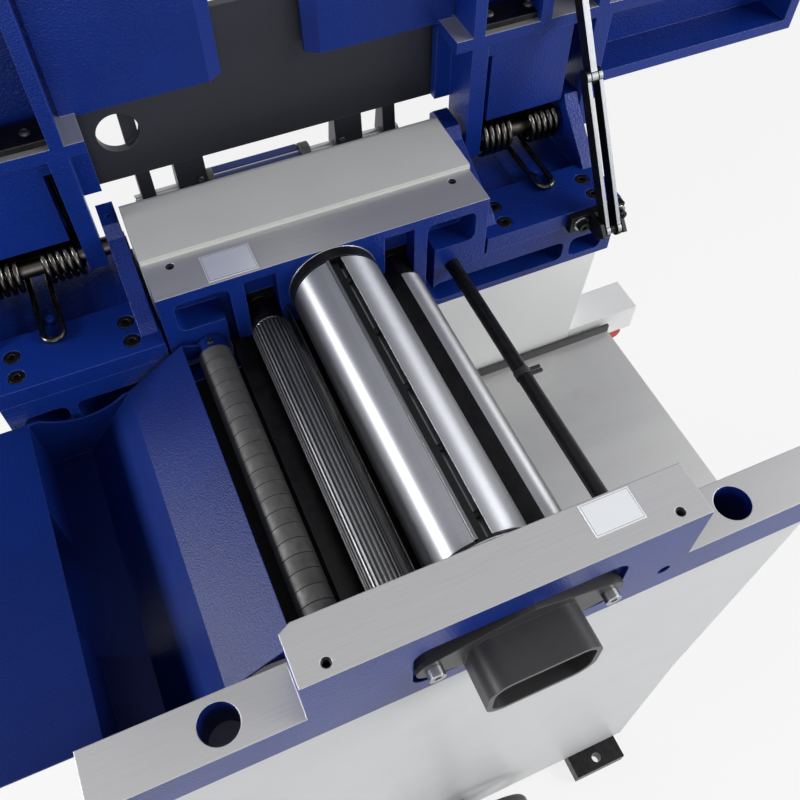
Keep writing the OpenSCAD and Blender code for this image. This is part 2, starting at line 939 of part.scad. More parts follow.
module drive_belt() {
    color(black) along_y(pulley_y + gap, pulley_y + pulley_w - gap) difference() {
        belt_loop(gap + belt_t);
        belt_loop(gap);
    }
}

// Feed

module sprocket() {
    root_r = sprocket_r - tooth_h;
    polygon([for (i = [0 : 2 * sprocket_teeth - 1])
        let (r = i % 2 == 0 ? sprocket_r : root_r, a = i * 180 / sprocket_teeth)
        [r * cos(a), r * sin(a)]]);
}

module roller_sprocket(side) {
    color(steel) translate([side * roller_x, 0, roller_z]) difference() {
        along_y(chain_y, chain_y + chain_w) sprocket();
        rod_y(0, 0, chain_y - over, chain_y + chain_w + over, pivot_d);
    }
}

module infeed_sprocket() {
    roller_sprocket(-1);
}

module outfeed_sprocket() {
    roller_sprocket(1);
}

module chain_band(r) {
    translate([-roller_x, -r]) square([2 * roller_x, 2 * r]);
    for (side = [-1, 1])
        translate([side * roller_x, 0]) circle(r);
}

module drive_chain() {
    color(black) translate([0, 0, roller_z]) along_y(chain_y + over, chain_y + chain_w - over) difference() {
        chain_band(sprocket_r + gap + chain_t);
        chain_band(sprocket_r + gap);
    }
}

module roller_journals(side) {
    rod_y(side * roller_x, roller_z, -yi - slide_deep + over, chain_y + chain_w, pivot_d);
}

module infeed_roller() {
    r = roller_d / 2;
    color("#54565a") {
        translate([-roller_x, 0, roller_z]) along_y(-yi + sleeve_l + over, yi - sleeve_l - over)
            polygon([for (i = [0 : 4 * flute_count - 1])
                let (k = i % 4 < 2 ? r : r - flute_deep, a = (i + (i % 2) / 2) * 90 / flute_count)
                [k * cos(a), k * sin(a)]]);
        roller_journals(-1);
    }
}

module outfeed_roller() {
    color(steel) {
        rod_y(roller_x, roller_z, -yi + sleeve_l + over, yi - sleeve_l - over, roller_d);
        roller_journals(1);
    }
}

module finger() {
    difference() {
        union() {
            circle(finger_r);
            polygon([
                finger_r * [cos(finger_lean), -sin(finger_lean)],
                finger_reach * [cos(finger_lean + finger_tip), -sin(finger_lean + finger_tip)],
                finger_reach * [cos(finger_lean + 2 * finger_tip), -sin(finger_lean + 2 * finger_tip)],
                finger_r * [cos(finger_lean + 90), -sin(finger_lean + 90)],
                [0, 0]
            ]);
        }
        circle(d = finger_shaft_d + 2 * fit);
    }
}

module kickback_fingers() {
    span = 2 * (hood_half - collar_w);
    pitch = span / finger_count;
    color("#3c3c3e") for (i = [0 : finger_count - 1])
        translate([-finger_x, i * pitch - span / 2, rod_z0])
            along_y(finger_gap / 2, pitch - finger_gap / 2) finger();
}

// Thickness table and lift

module thickness_table() {
    half = bed_w / 2;
    under = bed_z - bed_t - bed_rib_h;
    color(ground_iron) difference() {
        union() {
            slab([-bed_l / 2, -half, bed_z - bed_t], [bed_l / 2, half, bed_z]);
            for (y = [-half, -half / 2, half / 2 - bed_rib, half - bed_rib])
                slab([-bed_l / 2, y, bed_z - bed_t - bed_rib_h / 2],
                    [bed_l / 2, y + bed_rib, bed_z - bed_t + over]);
            for (x = [-bed_l / 2, -bed_l / 4, bed_l / 4, bed_l / 2 - bed_rib])
                slab([x, -half, bed_z - bed_t - bed_rib_h / 2], [x + bed_rib, half, bed_z - bed_t + over]);
            rod_z(0, 0, under, bed_z - bed_t + over, column_d + 4 * bed_rib);
        }
        rod_z(0, 0, under - over, bed_z - bed_t, column_bore);
    }
}

module table_edge_strip() {
    color(black) slab([-bed_l / 2, bed_w / 2 - strip_t, bed_z], [bed_l / 2, bed_w / 2, bed_z + strip_h]);
}

module table_column() {
    high = bed_z - bed_t - bed_rib_h;
    color(steel) difference() {
        rod_z(0, 0, high - column_l, high, column_d);
        rod_z(0, 0, high - column_l + nut_h, high + over, column_bore);
        rod_z(0, 0, high - column_l - over, high, screw_d + 2 * fit);
    }
}

module column_guide() {
    color(ground_iron) difference() {
        union() {
            rod_z(0, 0, deck_h, deck_h + guide_flange_t, guide_flange_d);
            rod_z(0, 0, deck_h - guide_down, deck_h + guide_up, column_d + 2 * guide_wall);
        }
        rod_z(0, 0, deck_h - guide_down - over, deck_h + guide_up + over, column_d + 2 * fit);
    }
}

// A mitre gear whose face looks along +Z, with its back at 0
module mitre_gear(bore) {
    difference() {
        union() {
            cylinder(h = gear_face, r1 = gear_r, r2 = gear_r - gear_face);
            translate([0, 0, -gear_face]) cylinder(h = gear_face + over, d = gear_hub_d);
        }
        translate([0, 0, -2 * gear_face]) cylinder(h = 4 * gear_face, d = bore);
    }
}

module lead_screw() {
    color(steel) {
        rod_z(0, 0, rail_h + sheet_t + gap, gear_z - gear_r - gear_face, screw_foot_d);
        rod_z(0, 0, gear_z - gear_r - gear_face, screw_top, screw_d);
        translate([0, 0, gear_z - gear_r]) mitre_gear(screw_d - over);
    }
}

module screw_seat() {
    color(ground_iron) difference() {
        rod_z(0, 0, rail_h + sheet_t, rail_h + sheet_t + screw_seat_h, gear_hub_d + 2 * gear_face);
        rod_z(0, 0, rail_h, rail_h + sheet_t + screw_seat_h + over, screw_foot_d + 2 * fit);
    }
}

module handwheel() {
    rim_r = wheel_d / 2 - wheel_rim_d / 2;
    color(black) translate([0, 0, gear_z]) {
        rod_y(0, 0, -wheel_y - wheel_hub_d / 2, -gear_r - gear_face, wheel_shaft_d);
        translate([0, -gear_r - gap, 0]) rotate([-90, 0, 0]) mitre_gear(wheel_shaft_d - over);
        rod_y(0, 0, -wheel_y - wheel_hub_d / 2, -wheel_y + wheel_hub_d / 2, wheel_hub_d);
        translate([0, -wheel_y, 0]) rotate([90, 0, 0]) rotate_extrude()
            translate([rim_r, 0]) circle(d = wheel_rim_d);
        for (i = [0 : 2])
            rotate([0, 90 + i * 120, 0]) translate([0, -wheel_y, 0])
                slab([0, -spoke_t / 2, -spoke_w / 2], [rim_r, spoke_t / 2, spoke_w / 2]);
        rod_y(0, rim_r, -wheel_y - knob_l, -wheel_y, knob_d);
    }
}

// Surfacing tables, drawn lowered on the right hand side

// A rib between two places on the underside
module table_rib_at(lo, hi) {
    slab([lo[0], lo[1], rib_low], [hi[0], hi[1], table_top - plate_t + over]);
}

module table_ribs() {
    stay_rib = stay_x - stay_gap - table_rib;
    table_rib_at([arm_in[0], -table_front], [arm_in[0] + table_rib, band_y + band_w]);
    table_rib_at([arm_out[0], -table_front], [arm_out[0] + table_rib, table_back]);
    table_rib_at([table_reach - table_rib, -table_front], [table_reach, table_back]);
    table_rib_at([arm_in[0], -table_front], [table_reach, -table_front + table_rib]);
    table_rib_at([table_x, band_y], [table_reach, band_y + band_w]);
    table_rib_at([arm_out[0], table_back - table_rib], [table_reach, table_back]);
    table_rib_at([stay_rib - table_rib, 0], [stay_rib, band_y + over]);
}

module table_arm(range) {
    along_x(range[0], range[1]) polygon([
        [band_y, rib_low], [hinge_y + arm_tail - arm_chamfer, rib_low],
        [hinge_y + arm_tail, rib_low + arm_chamfer], [hinge_y + arm_tail, table_top - plate_t - arm_chamfer],
        [hinge_y + arm_tail - arm_chamfer, table_top - plate_t], [table_back - over, table_top - plate_t],
        [table_back - over, table_top - plate_t + over], [band_y, table_top - plate_t + over]
    ]);
}

module table_casting() {
    leg_x = loop_x - loop_half - coil_l;
    difference() {
        union() {
            slab([table_x, -table_front, table_top - plate_t], [table_reach, table_back, table_top]);
            along_y(-hood_half, hood_half - 2 * over) polygon([
                [lip_x, table_top], [lip_x, table_top - lip_nose],
                [lip_x + lip_t, table_top - lip_t], [table_x + lip_t, table_top - lip_t],
                [table_x + lip_t, table_top]
            ]);
            table_ribs();
            table_arm(arm_in);
            table_arm(arm_out);
            slab([web_x[0], band_y + over, rib_low + web_up], [web_x[1], web_y, rib_low + web_up + web_t]);
            slab([lock_x - foot_w / 2, -table_front, arm_z + gap],
                [lock_x + foot_w / 2, -yi, table_top - plate_t + over]);
        }
        slab([leg_x - leg_slot_w / 2, band_y + band_w + leg_slot_in, rib_low],
            [leg_x + leg_slot_w / 2, web_y + over, rib_low + 2 * web_t]);
        rod_x(hinge_y, hinge_z, table_x, arm_out[1] + over, hinge_d + 2 * fit);
        rod_z(lock_x, -ym, arm_z - over, table_top - plate_t - lever_t, lock_stem_d + 2 * fit);
        slab([lock_x - lever_room, -yo - over, arm_z + 2 * lever_t - gap],
            [lock_x + lever_room, -ym + lever_w / 2 + over, arm_z + 3 * lever_t + gap]);
    }
}

// The pin tapers because it comes down on an arc
module lock_lever() {
    translate([lock_x, -ym, arm_z - lock_pin_l]) cylinder(h = lock_pin_l, d1 = lock_tip_d, d2 = lock_pin_d);
    rod_z(lock_x, -ym, arm_z - over, table_top - plate_t - lever_t - gap, lock_stem_d);
    rod_z(lock_x, -ym, arm_z + 2 * lever_t, arm_z + 3 * lever_t, lever_w);
    slab([lock_x - lever_w / 2, -ym - lever_l, arm_z + 2 * lever_t],
        [lock_x + lever_w / 2, -ym, arm_z + 3 * lever_t]);
    rod_z(lock_x, -ym - lever_l, arm_z + lever_t, arm_z + 4 * lever_t, lever_knob_d);
}

module outfeed_table() {
    color(blue) mirror([1, 0, 0]) raised() table_casting();
}

module outfeed_lock() {
    color(black) mirror([1, 0, 0]) raised() lock_lever();
}

module infeed_table() {
    color(blue) raised() {
        table_casting();
        rod_x(stay_table_y, stay_table_z, stay_x - stay_gap - table_rib - over, stay_x + stay_gap,
            stay_pin_d);
    }
}

module infeed_lock() {
    color(black) raised() lock_lever();
}

// Folding stay of the infeed table

stay_foot = [stay_y, stay_z];
stay_head = [hinge_y + stay_table_z - hinge_z, hinge_z + hinge_y - stay_table_y];
stay_elbow = stay_foot + stay_low_share * (stay_head - stay_foot);

// A flat bar with round ends and an eye at its first point
module stay_bar(from, to, eye) {
    way = to - from;
    waist = stay_waist_share * stay_bar_w;
    translate(from) rotate(atan2(way[1], way[0])) difference() {
        union() {
            translate([0, -waist / 2]) square([norm(way), waist]);
            circle(d = stay_bar_w);
            translate([norm(way), 0]) circle(d = stay_bar_w);
        }
        circle(d = eye);
    }
}

module stay_lower() {
    color(black) for (side = [-1, 1])
        translate([stay_x + side * stay_apart, 0, 0]) along_x(-stay_bar_t / 2, stay_bar_t / 2)
            stay_bar(stay_foot, stay_elbow, stay_pin_d + 2 * fit);
}

module stay_upper() {
    color(black) along_x(stay_x - stay_bar_t * stay_waist_share, stay_x + stay_bar_t * stay_waist_share)
        stay_bar(stay_head, stay_elbow, stay_pin_d + 2 * fit);
}

module stay_bracket() {
    z = stay_plate_z;
    half = stay_gap + stay_ear_t;
    color(black) difference() {
        union() {
            slab([stay_bolt_x[0] - stay_bolt_d, yi - stay_plate_t, z - stay_plate_h / 2],
                [xf, yi, z + stay_plate_h / 2]);
            for (x = [stay_x - half, stay_x + stay_gap])
                along_x(x, x + stay_ear_t) polygon([
                    [yi - over, z - stay_plate_h / 2], [yi - over, z + stay_plate_h / 2],
                    [stay_y, stay_z + stay_pin_d], [stay_y - stay_pin_d, stay_z],
                    [stay_y, stay_z - stay_pin_d]
                ]);
            rod_x(stay_y, stay_z, stay_x - half, stay_x + half, stay_pin_d);
        }
        for (x = stay_bolt_x)
            rod_y(x, z, yi - stay_plate_t - over, yi + over, thread_d + 2 * fit);
    }
}

module stay_bolts() {
    color(steel) for (x = stay_bolt_x)
        translate([x, yi - stay_plate_t, stay_plate_z]) rotate([90, 0, 0])
            socket_screw(stay_bolt_d, socket_h, thread_d, thread_l);
}

// Dust hood

hood_line = [hood_flange, hood_edge, hood_ridge, hood_floor_r, hood_floor_l, hood_step, hood_rim];
hood_pivot = [-finger_x, rod_z0];

module hood_end() {
    difference() {
        union() {
            difference() {
                polygon([hood_ridge, hood_floor_r, hood_floor_l, hood_step, hood_step + [0, over]]);
                translate(hood_arc) circle(hood_arc_r);
            }
            polygon([
                hood_edge, (hood_edge + hood_ridge) / 2, hood_pivot - [collar_d / 4, collar_d / 4],
                hood_pivot + [0, collar_d / 4]
            ]);
            translate(hood_pivot) circle(d = collar_d);
        }
        translate(hood_pivot) circle(d = finger_shaft_d + 2 * fit);
    }
}

module dust_hood() {
    under = [0, -hood_t];
    color(blue) difference() {
        union() {
            along_y(-hood_half, hood_half) folded(hood_line, hood_t);
            both_ends() along_y(hood_half - hood_end_t, hood_half) hood_end();
            both_ends() along_y(hood_half - collar_w, hood_half + collar_w / 4) difference() {
                translate(hood_pivot) circle(d = collar_d);
                translate(hood_pivot) circle(d = finger_shaft_d + 2 * fit);
            }
            along_y(-chute_half, chute_half) folded([hood_floor_l, chute_bend, chute_low], hood_t);
            both_ends() along_y(chute_half - hood_t, chute_half) polygon([
                hood_floor_l + under, chute_bend + under, chute_low + under, hood_rim + under,
                hood_step + under
            ]);
            slab([hood_rim[0], -chute_half, chute_low[1] - hood_t],
                [hood_rim[0] + hood_t, chute_half, hood_rim[1]]);
        }
        slab([hood_step[0] - 2 * hood_t, -chute_half + hood_t, hood_floor_l[1]],
            [hood_step[0] + over, chute_half - hood_t, hood_step[1] - hood_t]);
        rod_x(0, port_z, hood_rim[0] - over, hood_rim[0] + hood_t + over, port_d - 2 * port_t);
    }
}

module hood_port() {
    color(black) difference() {
        rod_x(0, port_z, hood_rim[0] - port_l, hood_rim[0], port_d);
        rod_x(0, port_z, hood_rim[0] - port_l - over, hood_rim[0] + over, port_d - 2 * port_t);
    }
}

// Covers and drive

// Section of the cover, round at its rear top edge
module cover_section(inset) {
    back = yo + over + cover_deep - inset;
    top = cover_top - inset;
    r = cover_r - inset;
    front = yo + over - inset;
    low = rear_z - inset;
    translate([front, low]) square([back - r - front, top - low]);
    translate([back - 2 * r, low]) square([2 * r, top - r - low]);
    translate([back - r, top - r]) circle(r);
}

module drive_cover() {
    color(cover_grey) {
        along_x(-cover_half, cover_half) difference() {
            cover_section(0);
            cover_section(cover_t);
        }
        slab([-cover_half, yo, zt - 2 * lug_step], [cover_half, yo + cover_t, cover_top - cover_t / 2]);
        both_sides() along_x(cover_half - cover_t, cover_half) cover_section(0);
    }
}

module guard_outline(grow) {
    polygon([
        [-guard_half - grow, rear_z], [guard_half + grow, rear_z],
        [guard_half + grow, rear_z - guard_half], [motor_x + guard_half + grow, guard_low - grow],
        [motor_x - guard_half - grow, guard_low - grow], [motor_x - guard_half - grow, motor_z + guard_half]
    ]);
}

module belt_guard() {
    back = yo + over + cover_deep;
    color(white) {
        along_y(yo, back - cover_t) difference() {
            guard_outline(0);
            guard_outline(-cover_t);
        }
        along_y(back - cover_t, back) guard_outline(0);
    }
}

module motor() {
    y0 = yo - sheet_t - motor_l;
    y1 = yo - sheet_t;
    color("#6d7176") {
        rod_y(motor_x, motor_z, y0, y1, motor_d);
        rod_y(motor_x, motor_z, y1 - over, pulley_y + pulley_w, motor_shaft_d);
        slab([motor_x - motor_foot_w / 2, y0 + motor_l / 4, rail_h + sheet_t],
            [motor_x + motor_foot_w / 2, y1 - motor_l / 4, motor_z - motor_d / 4]);
        for (i = [0 : motor_fins - 1])
            translate([motor_x, 0, motor_z]) rotate([0, i * 180 / motor_fins - 90, 0])
                slab([-fin_w / 2, y0 + motor_l / 8, 0],
                    [fin_w / 2, y1 - motor_l / 8, motor_d / 2 + fin_out]);
    }
}

// Fence

module fence_plate() {
    color("#2d2d30") {
        difference() {
            slab([-fence_l / 2, fence_y, fence_z], [fence_l / 2, fence_y + fence_t, fence_z + fence_h]);
            rod_y(fence_hole_x, fence_z + fence_hole_up, fence_y - over, fence_y + fence_t + over,
                fence_hole_d);
        }
        for (i = [0 : len(fence_arm_x) - 1])
            along_x(fence_arm_x[i] - fence_arm_w[i] / 2, fence_arm_x[i] + fence_arm_w[i] / 2) difference() {
                union() {
                    translate([fence_axis_y, fence_axis_z]) circle(d = fence_eye_d);
                    polygon([
                        [fence_y + fence_t - over, fence_z], [fence_axis_y - fence_eye_d / 2, fence_axis_z],
                        [fence_axis_y + fence_eye_d / 2, fence_axis_z],
                        [fence_y + fence_t + over, fence_z + fence_h / 2],
                        [fence_y + fence_t - over, fence_z + fence_h / 2]
                    ]);
                }
                translate([fence_axis_y, fence_axis_z]) circle(d = fence_pin_d + 2 * fit);
            }
    }
}

module fence_pin() {
    half = fence_arm_x[3] + fence_arm_w[3];
    color(steel) rod_x(fence_axis_y, fence_axis_z, -half, half, fence_pin_d);
}

module fence_carrier() {
    color(blue) difference() {
        union() {
            slab([carrier_x[0], carrier_y, fence_axis_z - carrier_h],
                [carrier_x[1], fence_axis_y, fence_axis_z - carrier_h + carrier_t]);
            along_x(carrier_x[0], carrier_x[1]) polygon([
                [fence_axis_y - fence_pin_d, fence_axis_z - carrier_h],
                [fence_axis_y + fence_pin_d, fence_axis_z - carrier_h],
                [fence_axis_y + fence_pin_d, fence_axis_z + fence_pin_d / 2],
                [fence_axis_y - fence_pin_d, fence_axis_z + fence_pin_d / 2]
            ]);
            slab([carrier_x[0], carrier_y, fence_axis_z - 2 * carrier_h],
                [carrier_x[1], carrier_y + carrier_t, fence_axis_z - carrier_h + over]);
        }
        rod_x(fence_axis_y, fence_axis_z, carrier_x[0] - over, carrier_x[1] + over, fence_pin_d + 2 * fit);
    }
}

// Guard bracket

module guard_flange() {
    hull() {
        translate([guard_x, guard_z]) circle(guard_mid_r, $fn = 32);
        for (side = [-1, 1])
            translate([guard_x + side * guard_bolt_half, guard_z]) circle(guard_eye_r, $fn = 32);
    }
}

module neck_outline(shrink) {
    pane([guard_x - neck_half + shrink, guard_z - neck_down + shrink],
        [guard_x + neck_half - shrink, guard_z + neck_up - shrink], neck_r - shrink);
}

module guard_bracket() {
    seat = -yo + guard_recess;
    color(black) difference() {
        union() {
            along_y(seat - guard_plate_t, seat) guard_flange();
            along_y(-yo - neck_l, seat - guard_plate_t + over) neck_outline(0);
        }
        along_y(-yo - neck_l - over, -yo - guard_plate_t) neck_outline(neck_wall);
        for (side = [-1, 1])
            rod_y(guard_x + side * guard_bolt_half, guard_z, seat - guard_plate_t - over, seat + over,
                thread_d + 2 * fit);
    }
}

module guard_bolts() {
    color(steel) for (side = [-1, 1])
        translate([guard_x + side * guard_bolt_half, -yo + guard_recess - guard_plate_t, guard_z])
            rotate([90, 0, 0]) socket_screw(socket_d, socket_h, thread_d, thread_l - guard_recess);
}

// Cabinet and controls

module base_rails() {
    half = floor_bolt_y / 2 + rail_over / 2;
    color(black) both_sides() difference() {
        slab([floor_bolt_x / 2 - rail_w / 2, -half, 0], [floor_bolt_x / 2 + rail_w / 2, half, rail_h]);
        both_ends() rod_z(floor_bolt_x / 2, floor_bolt_y / 2, -over, rail_h + over, floor_bolt_d);
    }
}

module cabinet_base() {
    color(white) difference() {
        slab([-cabinet_half, -yo + wall_inset, rail_h], [cabinet_half, yo, deck_h]);
        slab([-cabinet_half + sheet_t, -yo + wall_inset + sheet_t, rail_h + sheet_t],
            [cabinet_half - sheet_t, yo - sheet_t, deck_h - sheet_t]);
        rod_z(0, 0, deck_h - sheet_t - over, deck_h + over, column_d + 2 * guide_wall + 2 * fit);
        rod_y(motor_x, motor_z, yo - sheet_t - over, yo + over, motor_shaft_d + 2 * over);
        rod_y(0, gear_z, -yo, -yo + wall_inset + sheet_t + over, wheel_shaft_d + 2 * fit);
    }
}

module wall_outline(top, inset) {
    polygon([
        [-cabinet_half + inset, deck_h - inset], [cabinet_half - inset, deck_h - inset],
        [wall_top_half - inset, top - inset], [-wall_top_half + inset, top - inset]
    ]);
}

// A wall of folded sheet, open at its foot
module cabinet_wall(y0, y1, top) {
    difference() {
        along_y(y0, y1) wall_outline(top, 0);
        along_y(y0 + sheet_t, y1 - sheet_t) wall_outline(top, sheet_t);
    }
}

module cabinet_front_wall() {
    color(white) cabinet_wall(-yo + wall_inset, -yi, front_z);
}

module cabinet_rear_wall() {
    color(white) cabinet_wall(yi, yo, rear_z);
}

module switch_box() {
    color(white) difference() {
        union() {
            slab([box_x[0], box_y[0], box_z[1] - box_lip], [box_x[1], box_y[1], box_z[1]]);
            slab([box_x[0], box_y[0] + box_back, box_z[0]], [box_x[1], box_y[1], box_z[1] - box_lip + over]);
            slab([cabinet_half, box_y[0] + box_back, box_z[0]],
                [box_x[0] + over, box_y[1] - over, box_z[1]]);
        }
        along_y(yi - over, yo + over) wall_outline(rear_z, 0);
        rod_y(button_x, button_z, box_y[0], box_y[1] - box_back / 3, stem_d + 2 * gap);
    }
}

module stop_button() {
    face = box_y[0] + box_back;
    color(red) {
        rod_y(button_x, button_z, face - button_out, face + button_t, stem_d);
        translate([button_x, face - button_out, button_z]) rotate([90, 0, 0])
            cylinder(h = button_t, d1 = button_d, d2 = button_d - button_t);
    }
}

base_rails();
cabinet_base();
cabinet_front_wall();
cabinet_rear_wall();
column_guide();
screw_seat();
front_frame();
rear_frame();
bearing_caps();
block_bearings();
roller_blocks();
finger_shaft();
tie_rod();
rod_catch();
chip_deflector();
hinge_bracket_left();
hinge_bracket_right();
bracket_screws();
hinge_shaft_left();
hinge_shaft_right();
spring_left();
spring_right();
stay_bracket();
stay_bolts();
drive_cover();
belt_guard();
motor();
drive_belt();
drive_chain();
fence_carrier();
fence_pin();
guard_bracket();
guard_bolts();
switch_box();
cutterblock();
knives();
gibs();
gib_screws();
block_pulley();
motor_pulley();
infeed_roller();
infeed_sprocket();
outfeed_roller();
outfeed_sprocket();
kickback_fingers();
thickness_table();
table_edge_strip();
table_column();
lead_screw();
handwheel();
dust_hood();
hood_port();
outfeed_table();
outfeed_lock();
infeed_table();
infeed_lock();
stay_lower();
stay_upper();
fence_plate();
stop_button();
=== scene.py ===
"""Looks of a combination planer thicknesser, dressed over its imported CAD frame.

The frame keeps every size. This script gives each piece its finish, swaps the plain
springs for round wire, and adds small fittings, the studio and the camera.
"""

import logging
import math
from dataclasses import dataclass, field
from enum import Enum
from typing import Any, Iterable, NamedTuple

import bmesh
import bpy
from mathutils import Euler, Matrix, Vector

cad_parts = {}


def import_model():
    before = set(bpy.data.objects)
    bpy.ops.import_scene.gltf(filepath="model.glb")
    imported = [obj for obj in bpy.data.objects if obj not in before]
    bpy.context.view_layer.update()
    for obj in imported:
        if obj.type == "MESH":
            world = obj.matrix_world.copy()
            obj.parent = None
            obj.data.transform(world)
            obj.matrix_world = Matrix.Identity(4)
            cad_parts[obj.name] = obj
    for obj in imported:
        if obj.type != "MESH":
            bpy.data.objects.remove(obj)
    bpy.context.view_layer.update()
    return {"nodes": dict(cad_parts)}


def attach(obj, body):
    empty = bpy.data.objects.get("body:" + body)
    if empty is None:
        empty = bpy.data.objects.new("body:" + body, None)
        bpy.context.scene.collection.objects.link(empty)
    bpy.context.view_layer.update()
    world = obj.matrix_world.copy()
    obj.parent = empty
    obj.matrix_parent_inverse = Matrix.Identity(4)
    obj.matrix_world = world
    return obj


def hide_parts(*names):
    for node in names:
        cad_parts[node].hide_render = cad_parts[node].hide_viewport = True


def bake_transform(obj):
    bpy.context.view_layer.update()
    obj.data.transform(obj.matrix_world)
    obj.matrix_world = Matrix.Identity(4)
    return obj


LOG = logging.getLogger("planer")
MM = 0.001
Point = tuple[float, float, float]
Pair = tuple[float, float]
Box = tuple[Point, Point]
Socket = bpy.types.NodeSocket
Tree = bpy.types.NodeTree
Node = bpy.types.Node
Feed = Node | Socket | float
Piece = bpy.types.Object

# Levels and axes that several pieces share, in mm
CHEEK_TOP = 850.0
ARM_TOP = 779.0
TABLE_BACK, TABLE_BAND = 317.0, 948.0
BLOCK_Z = 806.3
ROLLER_X, ROLLER_Z = 69.0, 779.0
# The span in which most values of a noise texture lie
NOISE_SPAN = (0.3, 0.7)
# Points of a form closer than this, in m, are one
WELD = 1e-6
# A button-head screw in shares of its radius: radius, height, and whether the point is on the hexagon
BUTTON_HEAD = (
    (0.0, 0.15, False), (0.32, 0.15, True), (0.36, 0.5, True), (0.55, 0.52, False), (0.82, 0.36, False),
    (1.0, 0.1, False), (1.0, -0.1, False), (0.0, -0.1, False))


class Facing(Enum):
    """Which way the machined faces of a casting or bar look."""

    UP = (0.0, 0.0, 1.0)
    REAR = (0.0, 1.0, 0.0)
    STAY_EDGE = (0.0, -0.83, 0.55)


class Lay(Enum):
    """The direction in which a machined face was ground or turned."""

    ALONG_FEED = (0.03, 1.0, 1.0)
    ACROSS_FEED = (1.0, 0.03, 1.0)
    ROUND_Y = (0.05, 1.0, 0.05)
    ROUND_Z = (0.05, 0.05, 1.0)


class Turn(Enum):
    """How a fitting that is modelled facing up is turned to face another way, in degrees."""

    UP = (0.0, 0.0, 0.0)
    FRONT = (90.0, 0.0, 0.0)
    REAR = (-90.0, 0.0, 0.0)
    RIGHT = (0.0, 90.0, 0.0)


class Look(NamedTuple):
    """What a finish gives the shader."""

    colour: Feed
    rough: Feed
    normal: Feed
    metallic: Feed
    extras: tuple[tuple[str, Feed], ...] = ()


def linear(code: str) -> tuple[float, float, float, float]:
    """Turns an sRGB hex colour to linear.

    Args:
        code: the colour, such as "#23389b".

    Returns:
        Linear red, green and blue, and an alpha of 1.
    """
    parts = [int(code[i:i + 2], 16) / 255.0 for i in (1, 3, 5)]
    lin = [c / 12.92 if c <= 0.04045 else ((c + 0.055) / 1.055) ** 2.4 for c in parts]
    return (lin[0], lin[1], lin[2], 1.0)


def add(tree: Tree, kind: str, inputs: dict[str | int, Any] | None = None, **settings: Any) -> Node:
    """Adds a node with its settings, values and links.

    Args:
        tree: the tree that gets the node.
        kind: the node's type name.
        inputs: input name or number to a value, a socket, or a node whose first output in use feeds it.
        **settings: the node's own settings.

    Returns:
        The new node.
    """
    node = tree.nodes.new(kind)
    for name, value in settings.items():
        setattr(node, name, value)
    for key, value in (inputs or {}).items():
        if isinstance(value, Node):
            value = next(output for output in value.outputs if output.enabled)
        if isinstance(value, Socket):
            tree.links.new(value, node.inputs[key])
        else:
            node.inputs[key].default_value = value
    return node


def per_metre(size_mm: float) -> float:
    """Gives the texture scale at which one feature of a pattern is size_mm wide."""
    return 1.0 / (size_mm * MM)


